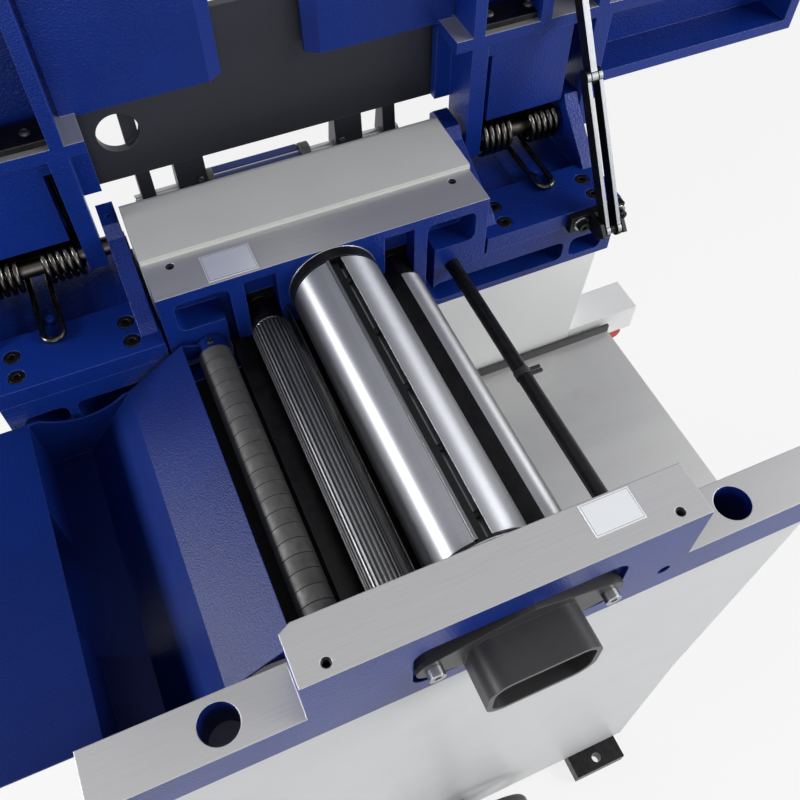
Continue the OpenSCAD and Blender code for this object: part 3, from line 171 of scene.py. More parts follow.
@dataclass(frozen=True)
class Finish:
    """What every finish has: two tones, a roughness, a gloss, and edges that are rounded and lightened.

    The edges lighten towards the edge colour, partly wear and partly a painted highlight where edges catch
    the light; this starts and is full at edge_turn, cosines of the turn from the flat face.
    """

    name: str
    colour: str = "#808080"
    shade: str = "#707070"
    roughness: float = 0.4
    gloss: float = 0.5
    # Edge colour and its strength: lighter edges, partly wear and partly a painted highlight
    edge: str = "#808080"
    edge_mm: float = 1.2
    wear_and_glint: float = 0.4
    edge_turn: Pair = (0.985, 0.82)
    rough_shares: Pair = (1.0, 1.0)

    def look(self, tree: Tree, place: Node) -> Look:
        """Draws the finish; each kind does it in its own way.

        Args:
            tree: the material's tree.
            place: its texture coordinates.

        Returns:
            What the shader gets.
        """
        raise NotImplementedError

    def build(self) -> bpy.types.Material:
        """Makes the material.

        Returns:
            The material, named for the finish.
        """
        material = bpy.data.materials.new(self.name)
        material.use_nodes = True
        tree = material.node_tree
        tree.nodes.clear()
        look = self.look(tree, add(tree, "ShaderNodeTexCoord"))
        shader = add(tree, "ShaderNodeBsdfPrincipled", {
            "Base Color": look.colour, "Roughness": look.rough, "Normal": look.normal,
            "Metallic": look.metallic, "Specular IOR Level": self.gloss, **dict(look.extras)})
        add(tree, "ShaderNodeOutputMaterial", {"Surface": shader})
        return material

    def tones(self, tree: Tree, share: Feed) -> Node:
        """Mixes the two tones, by the share of the shade."""
        return add(tree, "ShaderNodeMix", {
            "Factor": share, "A": linear(self.colour), "B": linear(self.shade)}, data_type="RGBA")

    def uneven(self, tree: Tree, pattern: Feed) -> Node:
        """Lets a pattern change the roughness.

        Args:
            tree: the material's tree.
            pattern: a noise.

        Returns:
            The roughness.
        """
        low, high = (self.roughness * share for share in self.rough_shares)
        return add(tree, "ShaderNodeMapRange", {
            "Value": pattern, "From Min": NOISE_SPAN[0], "From Max": NOISE_SPAN[1],
            "To Min": low, "To Max": high})

    def mottle(self, tree: Tree, coords: Socket, size_mm: float) -> Node:
        """Draws slow cloudy changes between the two tones.

        Args:
            tree: the material's tree.
            coords: where the pattern is read.
            size_mm: the width of one cloud.

        Returns:
            The cloudy colour.
        """
        cloud = add(tree, "ShaderNodeTexNoise", {
            "Vector": coords, "Scale": per_metre(size_mm), "Detail": 4.0})
        return self.tones(tree, cloud)

    def edges(self, tree: Tree, colour: Feed) -> tuple[Node, Node]:
        """Rounds the sharp edges in the shading, and lightens the colour along them: partly wear, partly a
        painted highlight.

        Args:
            tree: the material's tree.
            colour: the colour away from the edges.

        Returns:
            The colour with its lightened edges, and the rounded normal.
        """
        bend = add(tree, "ShaderNodeBevel", {"Radius": self.edge_mm * MM}, samples=4)
        flat = add(tree, "ShaderNodeNewGeometry")
        along = add(tree, "ShaderNodeVectorMath", {
            0: bend, 1: flat.outputs["True Normal"]}, operation="DOT_PRODUCT")
        # Painted highlight and wear: the colour goes towards the edge colour where the rounded normal turns
        # away
        wear_and_glint_mask = add(tree, "ShaderNodeMapRange", {
            "Value": along, "From Min": self.edge_turn[0], "From Max": self.edge_turn[1], "To Max": self.wear_and_glint})
        worn_and_glinting = add(tree, "ShaderNodeMix", {
            "Factor": wear_and_glint_mask, "A": colour, "B": linear(self.edge)}, data_type="RGBA")
        return worn_and_glinting, bend


@dataclass(frozen=True)
class TexturePaint(Finish):
    """Sprayed texture enamel: small rounded bumps on a slowly wavy casting, so light breaks into sparkles.

    The rises are heights as shares of the widths of a bump and a wave.
    """

    bump_mm: float = 1.4
    depth: float = 0.06
    bump_rise: float = 0.4
    wave_mm: float = 14.0
    wave: float = 0.04
    wave_rise: float = 0.04
    cloud_mm: float = 60.0
    lows: Pair = (0.3, 0.6)
    low_share: float = 0.25

    def look(self, tree: Tree, place: Node) -> Look:
        """Draws the enamel: darker lows, bumps and waves, and lighter edges.

        Args:
            tree: the material's tree.
            place: its texture coordinates.

        Returns:
            What the shader gets.
        """
        coords = place.outputs["Object"]
        cells = add(tree, "ShaderNodeTexNoise", {
            "Vector": coords, "Scale": per_metre(self.bump_mm), "Detail": 2.0, "Roughness": 0.45})
        waves = add(tree, "ShaderNodeTexNoise", {
            "Vector": coords, "Scale": per_metre(self.wave_mm), "Detail": 1.0})
        lows = add(tree, "ShaderNodeMapRange", {
            "Value": cells, "From Min": self.lows[0], "From Max": self.lows[1],
            "To Min": self.low_share, "To Max": 0.0})
        cloudy = self.mottle(tree, coords, self.cloud_mm)
        base = add(tree, "ShaderNodeMix", {
            "Factor": lows, "A": cloudy, "B": linear(self.shade)}, data_type="RGBA")
        colour, bend = self.edges(tree, base)
        slow = add(tree, "ShaderNodeBump", {
            "Height": waves, "Strength": self.wave,
            "Distance": self.wave_mm * MM * self.wave_rise, "Normal": bend})
        bump = add(tree, "ShaderNodeBump", {
            "Height": cells, "Strength": self.depth,
            "Distance": self.bump_mm * MM * self.bump_rise, "Normal": slow})
        return Look(colour, self.roughness, bump, 0.0)


@dataclass(frozen=True)
class Machined(Finish):
    """Ground or turned metal: fine lines one way, so highlights spread across them.

    Each pass of the tool is pass_mm wide. On bars turned about Y, stretch draws the highlights out.
    """

    lay: Lay = Lay.ALONG_FEED
    line_mm: float = 0.8
    contrast: float = 0.35
    metallic: float = 1.0
    depth: float = 0.06
    line_rise: float = 0.3
    stretch: float = 0.0
    stretch_turn: float = 0.25
    pass_mm: float = 40.0
    tone_span: Pair = (0.12, 0.42)
    rough_shares: Pair = (0.82, 1.2)

    def look(self, tree: Tree, place: Node) -> Look:
        """Draws the machined metal. Real lines are finer; these are as coarse as they need to show.

        Args:
            tree: the material's tree.
            place: its texture coordinates.

        Returns:
            What the shader gets.
        """
        drawn = add(tree, "ShaderNodeMapping", {"Vector": place.outputs["Object"], "Scale": self.lay.value})
        lines = add(tree, "ShaderNodeTexNoise", {
            "Vector": drawn, "Scale": per_metre(self.line_mm), "Detail": 6.0, "Roughness": 0.7})
        passes = add(tree, "ShaderNodeTexNoise", {
            "Vector": drawn, "Scale": per_metre(self.pass_mm), "Detail": 2.0})
        share = add(tree, "ShaderNodeMath", {0: lines, 1: passes}, operation="MULTIPLY")
        spread = add(tree, "ShaderNodeMapRange", {
            "Value": share, "From Min": self.tone_span[0], "From Max": self.tone_span[1],
            "To Max": self.contrast})
        colour, bend = self.edges(tree, self.tones(tree, spread))
        bump = add(tree, "ShaderNodeBump", {
            "Height": lines, "Strength": self.depth,
            "Distance": self.line_mm * MM * self.line_rise, "Normal": bend})
        look = Look(colour, self.uneven(tree, lines), bump, self.metallic)
        if not self.stretch:
            return look
        round_y = add(tree, "ShaderNodeTangent", direction_type="RADIAL", axis="Y")
        return look._replace(extras=(
            ("Tangent", round_y), ("Anisotropic", self.stretch), ("Anisotropic Rotation", self.stretch_turn)))


@dataclass(frozen=True)
class Fluted(Machined):
    """A fluted feed roller: ridges lighter as a painted highlight, grooves darker as painted shade."""

    groove_shade: str = "#474749"
    axis_mm: Point = (-ROLLER_X, 0.0, ROLLER_Z)
    ridge_mm: Pair = (17.2, 18.3)

    def look(self, tree: Tree, place: Node) -> Look:
        """Draws the metal and darkens it towards the roller's axis: painted shade in the grooves, with the
        ridges left lighter as a painted highlight.

        Args:
            tree: the material's tree.
            place: its texture coordinates.

        Returns:
            What the shader gets.
        """
        metal = super().look(tree, place)
        out = add(tree, "ShaderNodeVectorMath", {
            0: place.outputs["Object"], 1: tuple(c * MM for c in self.axis_mm)}, operation="SUBTRACT")
        flat = add(tree, "ShaderNodeVectorMath", {0: out, 1: (1.0, 0.0, 1.0)}, operation="MULTIPLY")
        far = add(tree, "ShaderNodeVectorMath", {0: flat}, operation="LENGTH")
        # Painted highlight on the ridges, painted shade in the grooves, by the distance from the axis
        ridge_glint = add(tree, "ShaderNodeMapRange", {
            "Value": far, "From Min": self.ridge_mm[0] * MM, "From Max": self.ridge_mm[1] * MM})
        tone = add(tree, "ShaderNodeMix", {
            "Factor": ridge_glint, "A": linear(self.groove_shade), "B": metal.colour}, data_type="RGBA")
        return metal._replace(colour=tone)


@dataclass(frozen=True)
class Faced(Finish):
    """One finish all over, with another on the faces that were machined after it.

    A face counts where the cosine from its direction is above square, and it is within gap_mm of its level.
    """

    gloss: float = 0.24
    base: Finish | None = None
    ground: Finish | None = None
    faces: tuple[tuple[Facing, float | None], ...] = ()
    square: float = 0.9
    gap_mm: float = 0.4

    def look(self, tree: Tree, place: Node) -> Look:
        """Mixes the two finishes by each face's direction and, where given, its level in mm.

        Args:
            tree: the material's tree.
            place: its texture coordinates.

        Returns:
            What the shader gets.
        """
        under, over = self.base.look(tree, place), self.ground.look(tree, place)
        bare: Feed = 0.0
        for facing, level_mm in self.faces:
            turn = add(tree, "ShaderNodeVectorMath", {
                0: place.outputs["Normal"], 1: facing.value}, operation="DOT_PRODUCT")
            here = add(tree, "ShaderNodeMath", {0: turn, 1: self.square}, operation="GREATER_THAN")
            if level_mm is not None:
                high = add(tree, "ShaderNodeVectorMath", {
                    0: place.outputs["Object"], 1: facing.value}, operation="DOT_PRODUCT")
                near = add(tree, "ShaderNodeMath", {
                    0: high, 1: level_mm * MM, 2: self.gap_mm * MM}, operation="COMPARE")
                here = add(tree, "ShaderNodeMath", {0: here, 1: near}, operation="MULTIPLY")
            bare = add(tree, "ShaderNodeMath", {0: bare, 1: here}, operation="MAXIMUM")
        colour = add(tree, "ShaderNodeMix", {
            "Factor": bare, "A": under.colour, "B": over.colour}, data_type="RGBA")
        rough = add(tree, "ShaderNodeMix", {"Factor": bare, "A": under.rough, "B": over.rough})
        normal = add(tree, "ShaderNodeMix", {
            "Factor": bare, "A": under.normal, "B": over.normal}, data_type="VECTOR")
        metallic = add(tree, "ShaderNodeMix", {"Factor": bare, "A": under.metallic, "B": over.metallic})
        return Look(colour, rough, normal, metallic)


@dataclass(frozen=True)
class Moulded(Finish):
    """Moulded plastic or rubber: a fine even grain that takes the edge off the gloss."""

    grain_mm: float = 0.9
    depth: float = 0.12
    grain_rise: float = 0.3
    cloud_mm: float = 25.0

    def look(self, tree: Tree, place: Node) -> Look:
        """Draws the grain.

        Args:
            tree: the material's tree.
            place: its texture coordinates.

        Returns:
            What the shader gets.
        """
        coords = place.outputs["Object"]
        grain = add(tree, "ShaderNodeTexVoronoi", {"Vector": coords, "Scale": per_metre(self.grain_mm)})
        colour, bend = self.edges(tree, self.mottle(tree, coords, self.cloud_mm))
        bump = add(tree, "ShaderNodeBump", {
            "Height": grain, "Strength": self.depth,
            "Distance": self.grain_mm * MM * self.grain_rise, "Normal": bend})
        return Look(colour, self.roughness, bump, 0.0)


@dataclass(frozen=True)
class Oxide(Finish):
    """Blackened or raw cast steel: dark, slightly patchy, with a dull sheen."""

    patch_mm: float = 9.0
    metallic: float = 0.75
    depth: float = 0.12
    patch_rise: float = 0.05
    tone_span: Pair = (0.35, 0.65)
    rough_shares: Pair = (0.8, 1.25)

    def look(self, tree: Tree, place: Node) -> Look:
        """Draws the patches, in tone, roughness and relief.

        Args:
            tree: the material's tree.
            place: its texture coordinates.

        Returns:
            What the shader gets.
        """
        patch = add(tree, "ShaderNodeTexNoise", {
            "Vector": place.outputs["Object"], "Scale": per_metre(self.patch_mm), "Detail": 7.0,
            "Roughness": 0.65})
        shift = add(tree, "ShaderNodeMapRange", {
            "Value": patch, "From Min": self.tone_span[0], "From Max": self.tone_span[1]})
        colour, bend = self.edges(tree, self.tones(tree, shift))
        bump = add(tree, "ShaderNodeBump", {
            "Height": patch, "Strength": self.depth,
            "Distance": self.patch_mm * MM * self.patch_rise, "Normal": bend})
        return Look(colour, self.uneven(tree, patch), bump, self.metallic)


@dataclass(frozen=True)
class Sliced(Oxide):
    """A row of separate castings, each of its own tone."""

    pitch_mm: float = 14.2
    start_mm: float = -142.0
    span: float = 0.5

    def look(self, tree: Tree, place: Node) -> Look:
        """Draws the iron, then lifts or drops the tone of each slice along the row.

        Args:
            tree: the material's tree.
            place: its texture coordinates.

        Returns:
            What the shader gets.
        """
        iron = super().look(tree, place)
        parts = add(tree, "ShaderNodeSeparateXYZ", {0: place.outputs["Object"]})
        count = add(tree, "ShaderNodeMapRange", {
            "Value": parts.outputs["Y"], "From Min": self.start_mm * MM,
            "From Max": (self.start_mm + self.pitch_mm) * MM}, clamp=False)
        number = add(tree, "ShaderNodeMath", {0: count}, operation="FLOOR")
        chance = add(tree, "ShaderNodeTexWhiteNoise", {"W": number}, noise_dimensions="1D")
        share = add(tree, "ShaderNodeMath", {0: chance, 1: self.span}, operation="MULTIPLY")
        tone = add(tree, "ShaderNodeMix", {
            "Factor": share, "A": iron.colour, "B": linear(self.shade)}, data_type="RGBA")
        return iron._replace(colour=tone)


# Enamel sprayed over castings and folded sheet: deep blue, fine bumps, edges lighter from wear and a painted
# highlight
BLUE_CAST = TexturePaint(
    "texture_enamel_blue_castings", "#0f2f88", "#0a2468", 0.32, 0.24, "#5463b4", wear_and_glint=0.5, bump_mm=1.9,
    depth=0.7, wave=0.35)
# The same blue enamel on the hood's sheet, made darker than on the castings as painted shade
BLUE_ENAMEL_SHEET_SHADED = TexturePaint(
    "texture_enamel_blue_sheet", "#0b256e", "#081c54", 0.36, 0.13, "#46549f", depth=0.45, wave=0.06)
# Cast iron ground flat: grey, with fine grinding lines along the feed
GROUND_IRON = Machined(
    "ground_cast_iron", "#b6b6b7", "#9f9fa0", 0.4, edge="#d8d8d9", wear_and_glint=0.5, line_mm=1.2, contrast=0.5,
    metallic=0.6)
BED_IRON = Machined(
    "ground_bed_iron", "#c2c2c1", "#afafae", 0.42, edge="#cfcfce", wear_and_glint=0.3, line_mm=1.4, contrast=0.45,
    metallic=0.6)
CHEEKS_FRONT = Faced(
    "front_frame_ground_and_enamel", base=BLUE_CAST, ground=GROUND_IRON,
    faces=((Facing.UP, CHEEK_TOP), (Facing.UP, ARM_TOP)))
CHEEKS_REAR = Faced(
    "rear_frame_ground_and_enamel", base=BLUE_CAST, ground=GROUND_IRON, faces=((Facing.UP, CHEEK_TOP),))
TABLE_CASTINGS = Faced(
    "tables_ground_and_enamel", base=BLUE_CAST, ground=GROUND_IRON,
    faces=((Facing.REAR, TABLE_BACK), (Facing.UP, TABLE_BAND)))
# Steel turned or ground round: highlights drawn out into bands along the bar
BLOCK_STEEL = Machined(
    "ground_block_steel", "#9fa0a5", "#8f9095", 0.44, edge="#b8b9bd", wear_and_glint=0.3, lay=Lay.ROUND_Y, line_mm=0.6,
    stretch=0.9)
TURNED_STEEL = Machined(
    "turned_steel", "#a2a3a6", "#8c8d90", 0.42, edge="#c4c5c8", lay=Lay.ROUND_Y, line_mm=0.6, stretch=0.85)
KNIFE_STEEL = Machined(
    "ground_tool_steel", "#6a6b6f", "#5b5c60", 0.3, edge="#9a9b9f", wear_and_glint=0.3, lay=Lay.ACROSS_FEED,
    line_mm=0.6, contrast=0.3)
PLAIN_STEEL = Machined(
    "bright_drawn_steel", "#a2a3a6", "#7d7e80", 0.32, edge="#c8c9cb", lay=Lay.ROUND_Z, contrast=0.4)
CUT_STEEL = Machined(
    "sheared_bright_steel", "#94979b", "#808387", 0.4, edge="#b4b7bb", lay=Lay.ROUND_Z, metallic=0.6)
SHAFT_STEEL = Machined(
    "oiled_dark_shaft", "#4c4846", "#383433", 0.34, edge="#6e6a68", wear_and_glint=0.3, lay=Lay.ROUND_Z, contrast=0.5)
# The fluted roller: painted highlight on its ridges, painted shade in its grooves
FLUTED_STEEL = Fluted(
    "blackened_fluted_steel", "#747476", "#5c5c5e", 0.42, edge="#8a8a8c", wear_and_glint=0.3, lay=Lay.ROUND_Y,
    line_mm=0.9, contrast=0.6, edge_mm=0.5)
# Blackened steel, raw cast iron and oiled wire: black to dark grey, patchy, edges lighter, partly rubbed bare
# and partly a painted highlight
BLACK_STEEL = Oxide("black_oxide_steel", "#161617", "#212123", 0.38, edge="#4a4a4c", wear_and_glint=0.5, edge_mm=0.8)
STAY_BARS = Faced(
    "stay_bars_black_with_cut_edges", gloss=0.5, base=BLACK_STEEL, ground=CUT_STEEL,
    faces=((Facing.STAY_EDGE, None),))
DARK_IRON = Oxide("dark_cast_iron", "#525252", "#3f3f40", 0.5, edge="#7a7a7a", patch_mm=12.0, metallic=0.5)
FINGER_IRON = Sliced(
    "dark_cast_fingers", "#5f5f5e", "#464645", 0.6, edge="#7a7a78", wear_and_glint=0.6, edge_mm=0.7, patch_mm=12.0,
    metallic=0.25)
SPRING_WIRE = Oxide(
    "oiled_spring_wire", "#5e5c58", "#2b2a29", 0.22, wear_and_glint=0.0, metallic=1.0, depth=0.04, edge_mm=0.2)
# Satin enamel on sheet steel: even, with a faint orange peel
# One white enamel in two copies: this darker one is painted shade on the base and front wall
WHITE_ENAMEL_SHADED = TexturePaint("satin_white_enamel", "#d0d1d2", "#c6c7c9", 0.38, 0.25, "#eceded", bump_mm=1.6)
# and this brighter one is painted light on the rear wall, belt guard and switch box
WHITE_ENAMEL_LIT = TexturePaint(
    "satin_bright_white_enamel", "#f1f1f1", "#eaebeb", 0.38, 0.25, "#f6f6f6", bump_mm=1.6)
COVER_PAINT = TexturePaint(
    "satin_grey_enamel", "#c9cac7", "#bebfbc", 0.45, 0.25, "#d9dad7", wear_and_glint=0.3, depth=0.07)
MOTOR_GREY = TexturePaint(
    "grey_enamel_on_aluminium", "#6d7176", "#5b5f64", 0.45, 0.25, "#8d9196", depth=0.08, wave=0.1)
# Anodised and bare aluminium: dark and even on the fence, pale on the blank plates
FENCE_GREY = Machined(
    "anodised_aluminium", "#393b43", "#2d2f36", 0.42, edge="#6a6c74", line_mm=0.9, contrast=0.5,
    metallic=0.6)
PLATE_ALU = Machined(
    "blank_label_aluminium", "#e6e9ed", "#dadde2", 0.34, edge="#e6e8eb", wear_and_glint=0.0, line_mm=0.6, contrast=0.3,
    metallic=0.55, edge_mm=0.2)
# Plastics and rubber: dull, finely grained
BLACK_PLASTIC = Moulded("black_moulded_nylon", "#2e2e30", "#38383a", 0.4, 0.3, "#4a4a4c")
STRIP_PLASTIC = Moulded("dark_wear_strip_nylon", "#3a3a3b", "#444445", 0.45, 0.3, "#5a5a5b")
BELT_RUBBER = Moulded("black_rubber", "#141414", "#1d1d1d", 0.62, 0.3, "#2a2a2a", wear_and_glint=0.0, depth=0.2)
RED_PLASTIC = Moulded("red_moulded_abs", "#c02a26", "#ac201e", 0.3, 0.4, "#dd6a66", wear_and_glint=0.3, depth=0.04)

DRESS: dict[Finish, tuple[str, ...]] = {
    CHEEKS_FRONT: ("front_frame",),
    CHEEKS_REAR: ("rear_frame",),
    TABLE_CASTINGS: ("outfeed_table", "infeed_table"),
    BLUE_CAST: ("fence_carrier", "hinge_bracket_left", "hinge_bracket_right"),
    # The hood takes the darker copy of the blue enamel, painted shade
    BLUE_ENAMEL_SHEET_SHADED: ("dust_hood",),
    BED_IRON: ("thickness_table", "column_guide", "screw_seat"),
    BLOCK_STEEL: ("cutterblock",),
    TURNED_STEEL: ("outfeed_roller", "block_bearings"),
    KNIFE_STEEL: ("knives",),
    PLAIN_STEEL: (
        "finger_shaft", "fence_pin", "guard_bolts", "table_column", "lead_screw", "infeed_sprocket",
        "outfeed_sprocket"),
    SHAFT_STEEL: ("hinge_shaft_left", "hinge_shaft_right"),
    FLUTED_STEEL: ("infeed_roller",),
    FINGER_IRON: ("kickback_fingers",),
    DARK_IRON: ("block_pulley", "motor_pulley"),
    STAY_BARS: ("stay_lower", "stay_upper"),
    # chip_deflector: black sheets in the gaps round the fingers, infeed roller and block, as painted shade
    BLACK_STEEL: (
        "bearing_caps", "roller_blocks", "tie_rod", "chip_deflector", "bracket_screws", "stay_bracket",
        "stay_bolts", "drive_chain", "gibs", "gib_screws", "base_rails", "outfeed_lock", "infeed_lock"),
    # White enamel: painted shade on the base and front wall, painted light on the rear wall, belt guard and
    # switch box
    WHITE_ENAMEL_SHADED: ("cabinet_base", "cabinet_front_wall"),
    WHITE_ENAMEL_LIT: ("cabinet_rear_wall", "belt_guard", "switch_box"),
    COVER_PAINT: ("drive_cover",),
    MOTOR_GREY: ("motor",),
    FENCE_GREY: ("fence_plate",),
    BLACK_PLASTIC: ("rod_catch", "guard_bracket", "handwheel", "hood_port"),
    STRIP_PLASTIC: ("table_edge_strip",),
    BELT_RUBBER: ("drive_belt",),
    RED_PLASTIC: ("stop_button",),
}


@dataclass
class Wardrobe:
    """Makes each finish once and puts it on pieces."""

    made: dict[str, bpy.types.Material] = field(default_factory=dict)

    def material(self, finish: Finish) -> bpy.types.Material:
        """Gives a finish's material, made on first use.

        Args:
            finish: the finish.

        Returns:
            Its material.
        """
        if finish.name not in self.made:
            self.made[finish.name] = finish.build()
        return self.made[finish.name]

    def put(self, piece: Piece, finish: Finish) -> None:
        """Puts one finish on a whole piece.

        Args:
            piece: the object to dress.
            finish: what it gets.
        """
        piece.data.materials.clear()
        piece.data.materials.append(self.material(finish))

    def dress_frame(self, nodes: dict[str, Piece]) -> None:
        """Dresses the CAD nodes listed in DRESS, and reports any left bare.

        Args:
            nodes: node name to object.
        """
        for finish, names in DRESS.items():
            for name in names:
                self.put(nodes[name], finish)
        bare = set(nodes) - {name for names in DRESS.values() for name in names}
        LOG.info("dressed %d nodes, left %s", len(nodes) - len(bare), sorted(bare))


def linked(name: str, form: bmesh.types.BMesh) -> Piece:
    """Turns a finished form into an object at the origin.

    Args:
        name: the object's name.
        form: the form, which is used up.

    Returns:
        The linked object.
    """
    mesh = bpy.data.meshes.new(name)
    form.to_mesh(mesh)
    form.free()
    piece = bpy.data.objects.new(name, mesh)
    bpy.context.scene.collection.objects.link(piece)
    return piece


def bevelled_box(name: str, low_mm: Point, high_mm: Point, radius_mm: float, segments: int = 3) -> Piece:
    """Makes a box with rounded edges.

    Args:
        name: the object's name.
        low_mm: lowest corner.
        high_mm: highest corner.
        radius_mm: edge radius.
        segments: steps of the rounding.

    Returns:
        The linked object.
    """
    form = bmesh.new()
    bmesh.ops.create_cube(form, size=1.0)
    low, high = Vector(low_mm) * MM, Vector(high_mm) * MM
    place = Matrix.Translation((low + high) / 2) @ Matrix.Diagonal((*(high - low), 1.0))
    bmesh.ops.transform(form, matrix=place, verts=form.verts)
    bmesh.ops.bevel(
        form, geom=form.edges[:], offset=radius_mm * MM, segments=segments, profile=0.5, affect="EDGES")
    return linked(name, form)


def lathe(
        name: str, profile_mm: Iterable[tuple[float, float, bool]], ring: bool = False,
        steps: int = 48) -> Piece:
    """Turns a profile about the vertical axis.

    Args:
        name: the object's name.
        profile_mm: radius, height, and whether the point lies on a hexagon of that inner radius.
        ring: True where the profile is a closed loop away from the axis.
        steps: facets round the axis.

    Returns:
        The linked object, about the origin.
    """
    form = bmesh.new()
    rows = []
    for radius, height, hexagon in profile_mm:
        row = []
        for i in range(steps):
            angle = 2 * math.pi * i / steps
            corner = (angle + math.pi / 6) % (math.pi / 3) - math.pi / 6
            r = (radius / math.cos(corner) if hexagon else radius) * MM
            row.append(form.verts.new((r * math.cos(angle), r * math.sin(angle), height * MM)))
        rows.append(row)
    pairs = list(zip(rows, rows[1:])) + ([(rows[-1], rows[0])] if ring else [])
    for first, second in pairs:
        for i in range(steps):
            j = (i + 1) % steps
            form.faces.new((first[i], first[j], second[j], second[i]))
    bmesh.ops.remove_doubles(form, verts=form.verts[:], dist=WELD)
    bmesh.ops.recalc_face_normals(form, faces=form.faces[:])
    return linked(name, form)


def sketch(name: str, points_mm: Iterable[Point], joined: bool = False) -> Piece:
    """Makes an object of bare points, for a Geometry Nodes tree to start from.

    Args:
        name: the object's name.
        points_mm: its points.
        joined: True where a line runs through the points.

    Returns:
        The linked object.
    """
    form = bmesh.new()
    points = [form.verts.new(tuple(c * MM for c in point)) for point in points_mm]
    for pair in zip(points, points[1:]) if joined else ():
        form.edges.new(pair)
    return linked(name, form)


def node_tree(name: str, sizes: dict[str, float]) -> tuple[Tree, Node, Node]:
    """Starts a Geometry Nodes tree that takes a mesh and named sizes.

    Args:
        name: the tree's name.
        sizes: each named size and its default.

    Returns:
        The tree, its input and its output.
    """
    tree = bpy.data.node_groups.new(name, "GeometryNodeTree")
    tree.interface.new_socket("Geometry", in_out="INPUT", socket_type="NodeSocketGeometry")
    tree.interface.new_socket("Geometry", in_out="OUTPUT", socket_type="NodeSocketGeometry")
    for label, value in sizes.items():
        tree.interface.new_socket(label, in_out="INPUT", socket_type="NodeSocketFloat").default_value = value
    return tree, add(tree, "NodeGroupInput"), add(tree, "NodeGroupOutput")


def grow(piece: Piece, tree: Tree, sizes: dict[str, float]) -> None:
    """Runs a Geometry Nodes tree on a piece and keeps the result as its plain mesh.

    Args:
        piece: the object whose mesh is replaced.
        tree: the tree to run.
        sizes: named size to value.
    """
    modifier = piece.modifiers.new(tree.name, "NODES")
    modifier.node_group = tree
    for item in tree.interface.items_tree:
        if item.in_out == "INPUT" and item.name in sizes:
            modifier[item.identifier] = sizes[item.name]
    ready = piece.evaluated_get(bpy.context.evaluated_depsgraph_get())
    mesh = bpy.data.meshes.new_from_object(ready)
    piece.modifiers.remove(modifier)
    piece.data = mesh


@dataclass
class TorsionSprings:
    """Two double torsion springs that carry part of the tables' weight.
    """

    wardrobe: Wardrobe
    wire_mm: float = 6.0
    coil_mm: float = 17.7
    pitch_mm: float = 7.0
    turns: float = 5.25
    loop_half_mm: float = 9.0
    middle_mm: float = 257.25
    tip_mm: float = 201.0
    hinge_mm: Pair = (281.0, 815.0)
    leg_top_mm: float = 935.7
    leg_steps: int = 6
    turn_steps: int = 32
    loop_steps: int = 12
    wire_facets: int = 14
    still_m: Pair = (0.2987, 0.838)
    moving_m: Pair = (0.2987, 0.872)

    def half(self) -> list[Point]:
        """Gives one half of a spring's centre line, from its leg to its loop.

        Returns:
            Points of the line in mm, with X from the spring's middle.
        """
        y, z = self.hinge_mm
        length = self.pitch_mm * self.turns
        out = self.loop_half_mm + length
        top, foot = self.leg_top_mm, z + self.wire_mm
        line = [
            (-out, y + self.coil_mm, top + (foot - top) * i / self.leg_steps)
            for i in range(self.leg_steps + 1)]
        steps = int(self.turn_steps * self.turns)
        for i in range(steps + 1):
            s = i / steps
            a = -2 * math.pi * self.turns * s
            line.append((
                -self.loop_half_mm - length * (1 - s), y + self.coil_mm * math.cos(a),
                z + self.coil_mm * math.sin(a)))
        line.append((-self.loop_half_mm, y - self.coil_mm, z - self.coil_mm))
        for i in range(self.loop_steps + 1):
            a = math.pi / 2 * i / self.loop_steps
            line.append((
                -self.loop_half_mm * math.cos(a), self.tip_mm + self.loop_half_mm * (1 - math.sin(a)),
                z - self.coil_mm))
        return line

    def tree(self) -> Tree:
        """Builds the tree that sweeps a round wire along a line.

        Returns:
            The tree, which takes the wire's radius.
        """
        tree, source, result = node_tree("wire_sweep", {"Wire radius": self.wire_mm * MM / 2})
        path = add(tree, "GeometryNodeMeshToCurve", {"Mesh": source.outputs["Geometry"]})
        ring = add(tree, "GeometryNodeCurvePrimitiveCircle", {
            "Resolution": self.wire_facets, "Radius": source.outputs["Wire radius"]})
        wire = add(tree, "GeometryNodeCurveToMesh", {
            "Curve": path, "Profile Curve": ring, "Fill Caps": True})
        smooth = add(tree, "GeometryNodeSetShadeSmooth", {"Geometry": wire})
        plain = add(tree, "GeometryNodeRealizeInstances", {"Geometry": smooth})
        dressed = add(tree, "GeometryNodeSetMaterial", {
            "Geometry": plain, "Material": self.wardrobe.material(SPRING_WIRE)})
        tree.links.new(dressed.outputs[0], result.inputs[0])
        return tree

    def build(self) -> None:
        """Makes both springs of round wire and hides the plain ones."""
        tree = self.tree()
        half = self.half()
        whole = half + [(-x, y, z) for x, y, z in reversed(half[:-1])]
        for node, side, table in (("spring_left", -1.0, "outfeed_top"), ("spring_right", 1.0, "infeed_top")):
            piece = sketch(node + "_wire", [(side * self.middle_mm + x, y, z) for x, y, z in whole], True)
            grow(piece, tree, {"Wire radius": self.wire_mm * MM / 2})
            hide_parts(node)
            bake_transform(piece)
            LOG.info("spring %s: %d faces", node, len(piece.data.polygons))


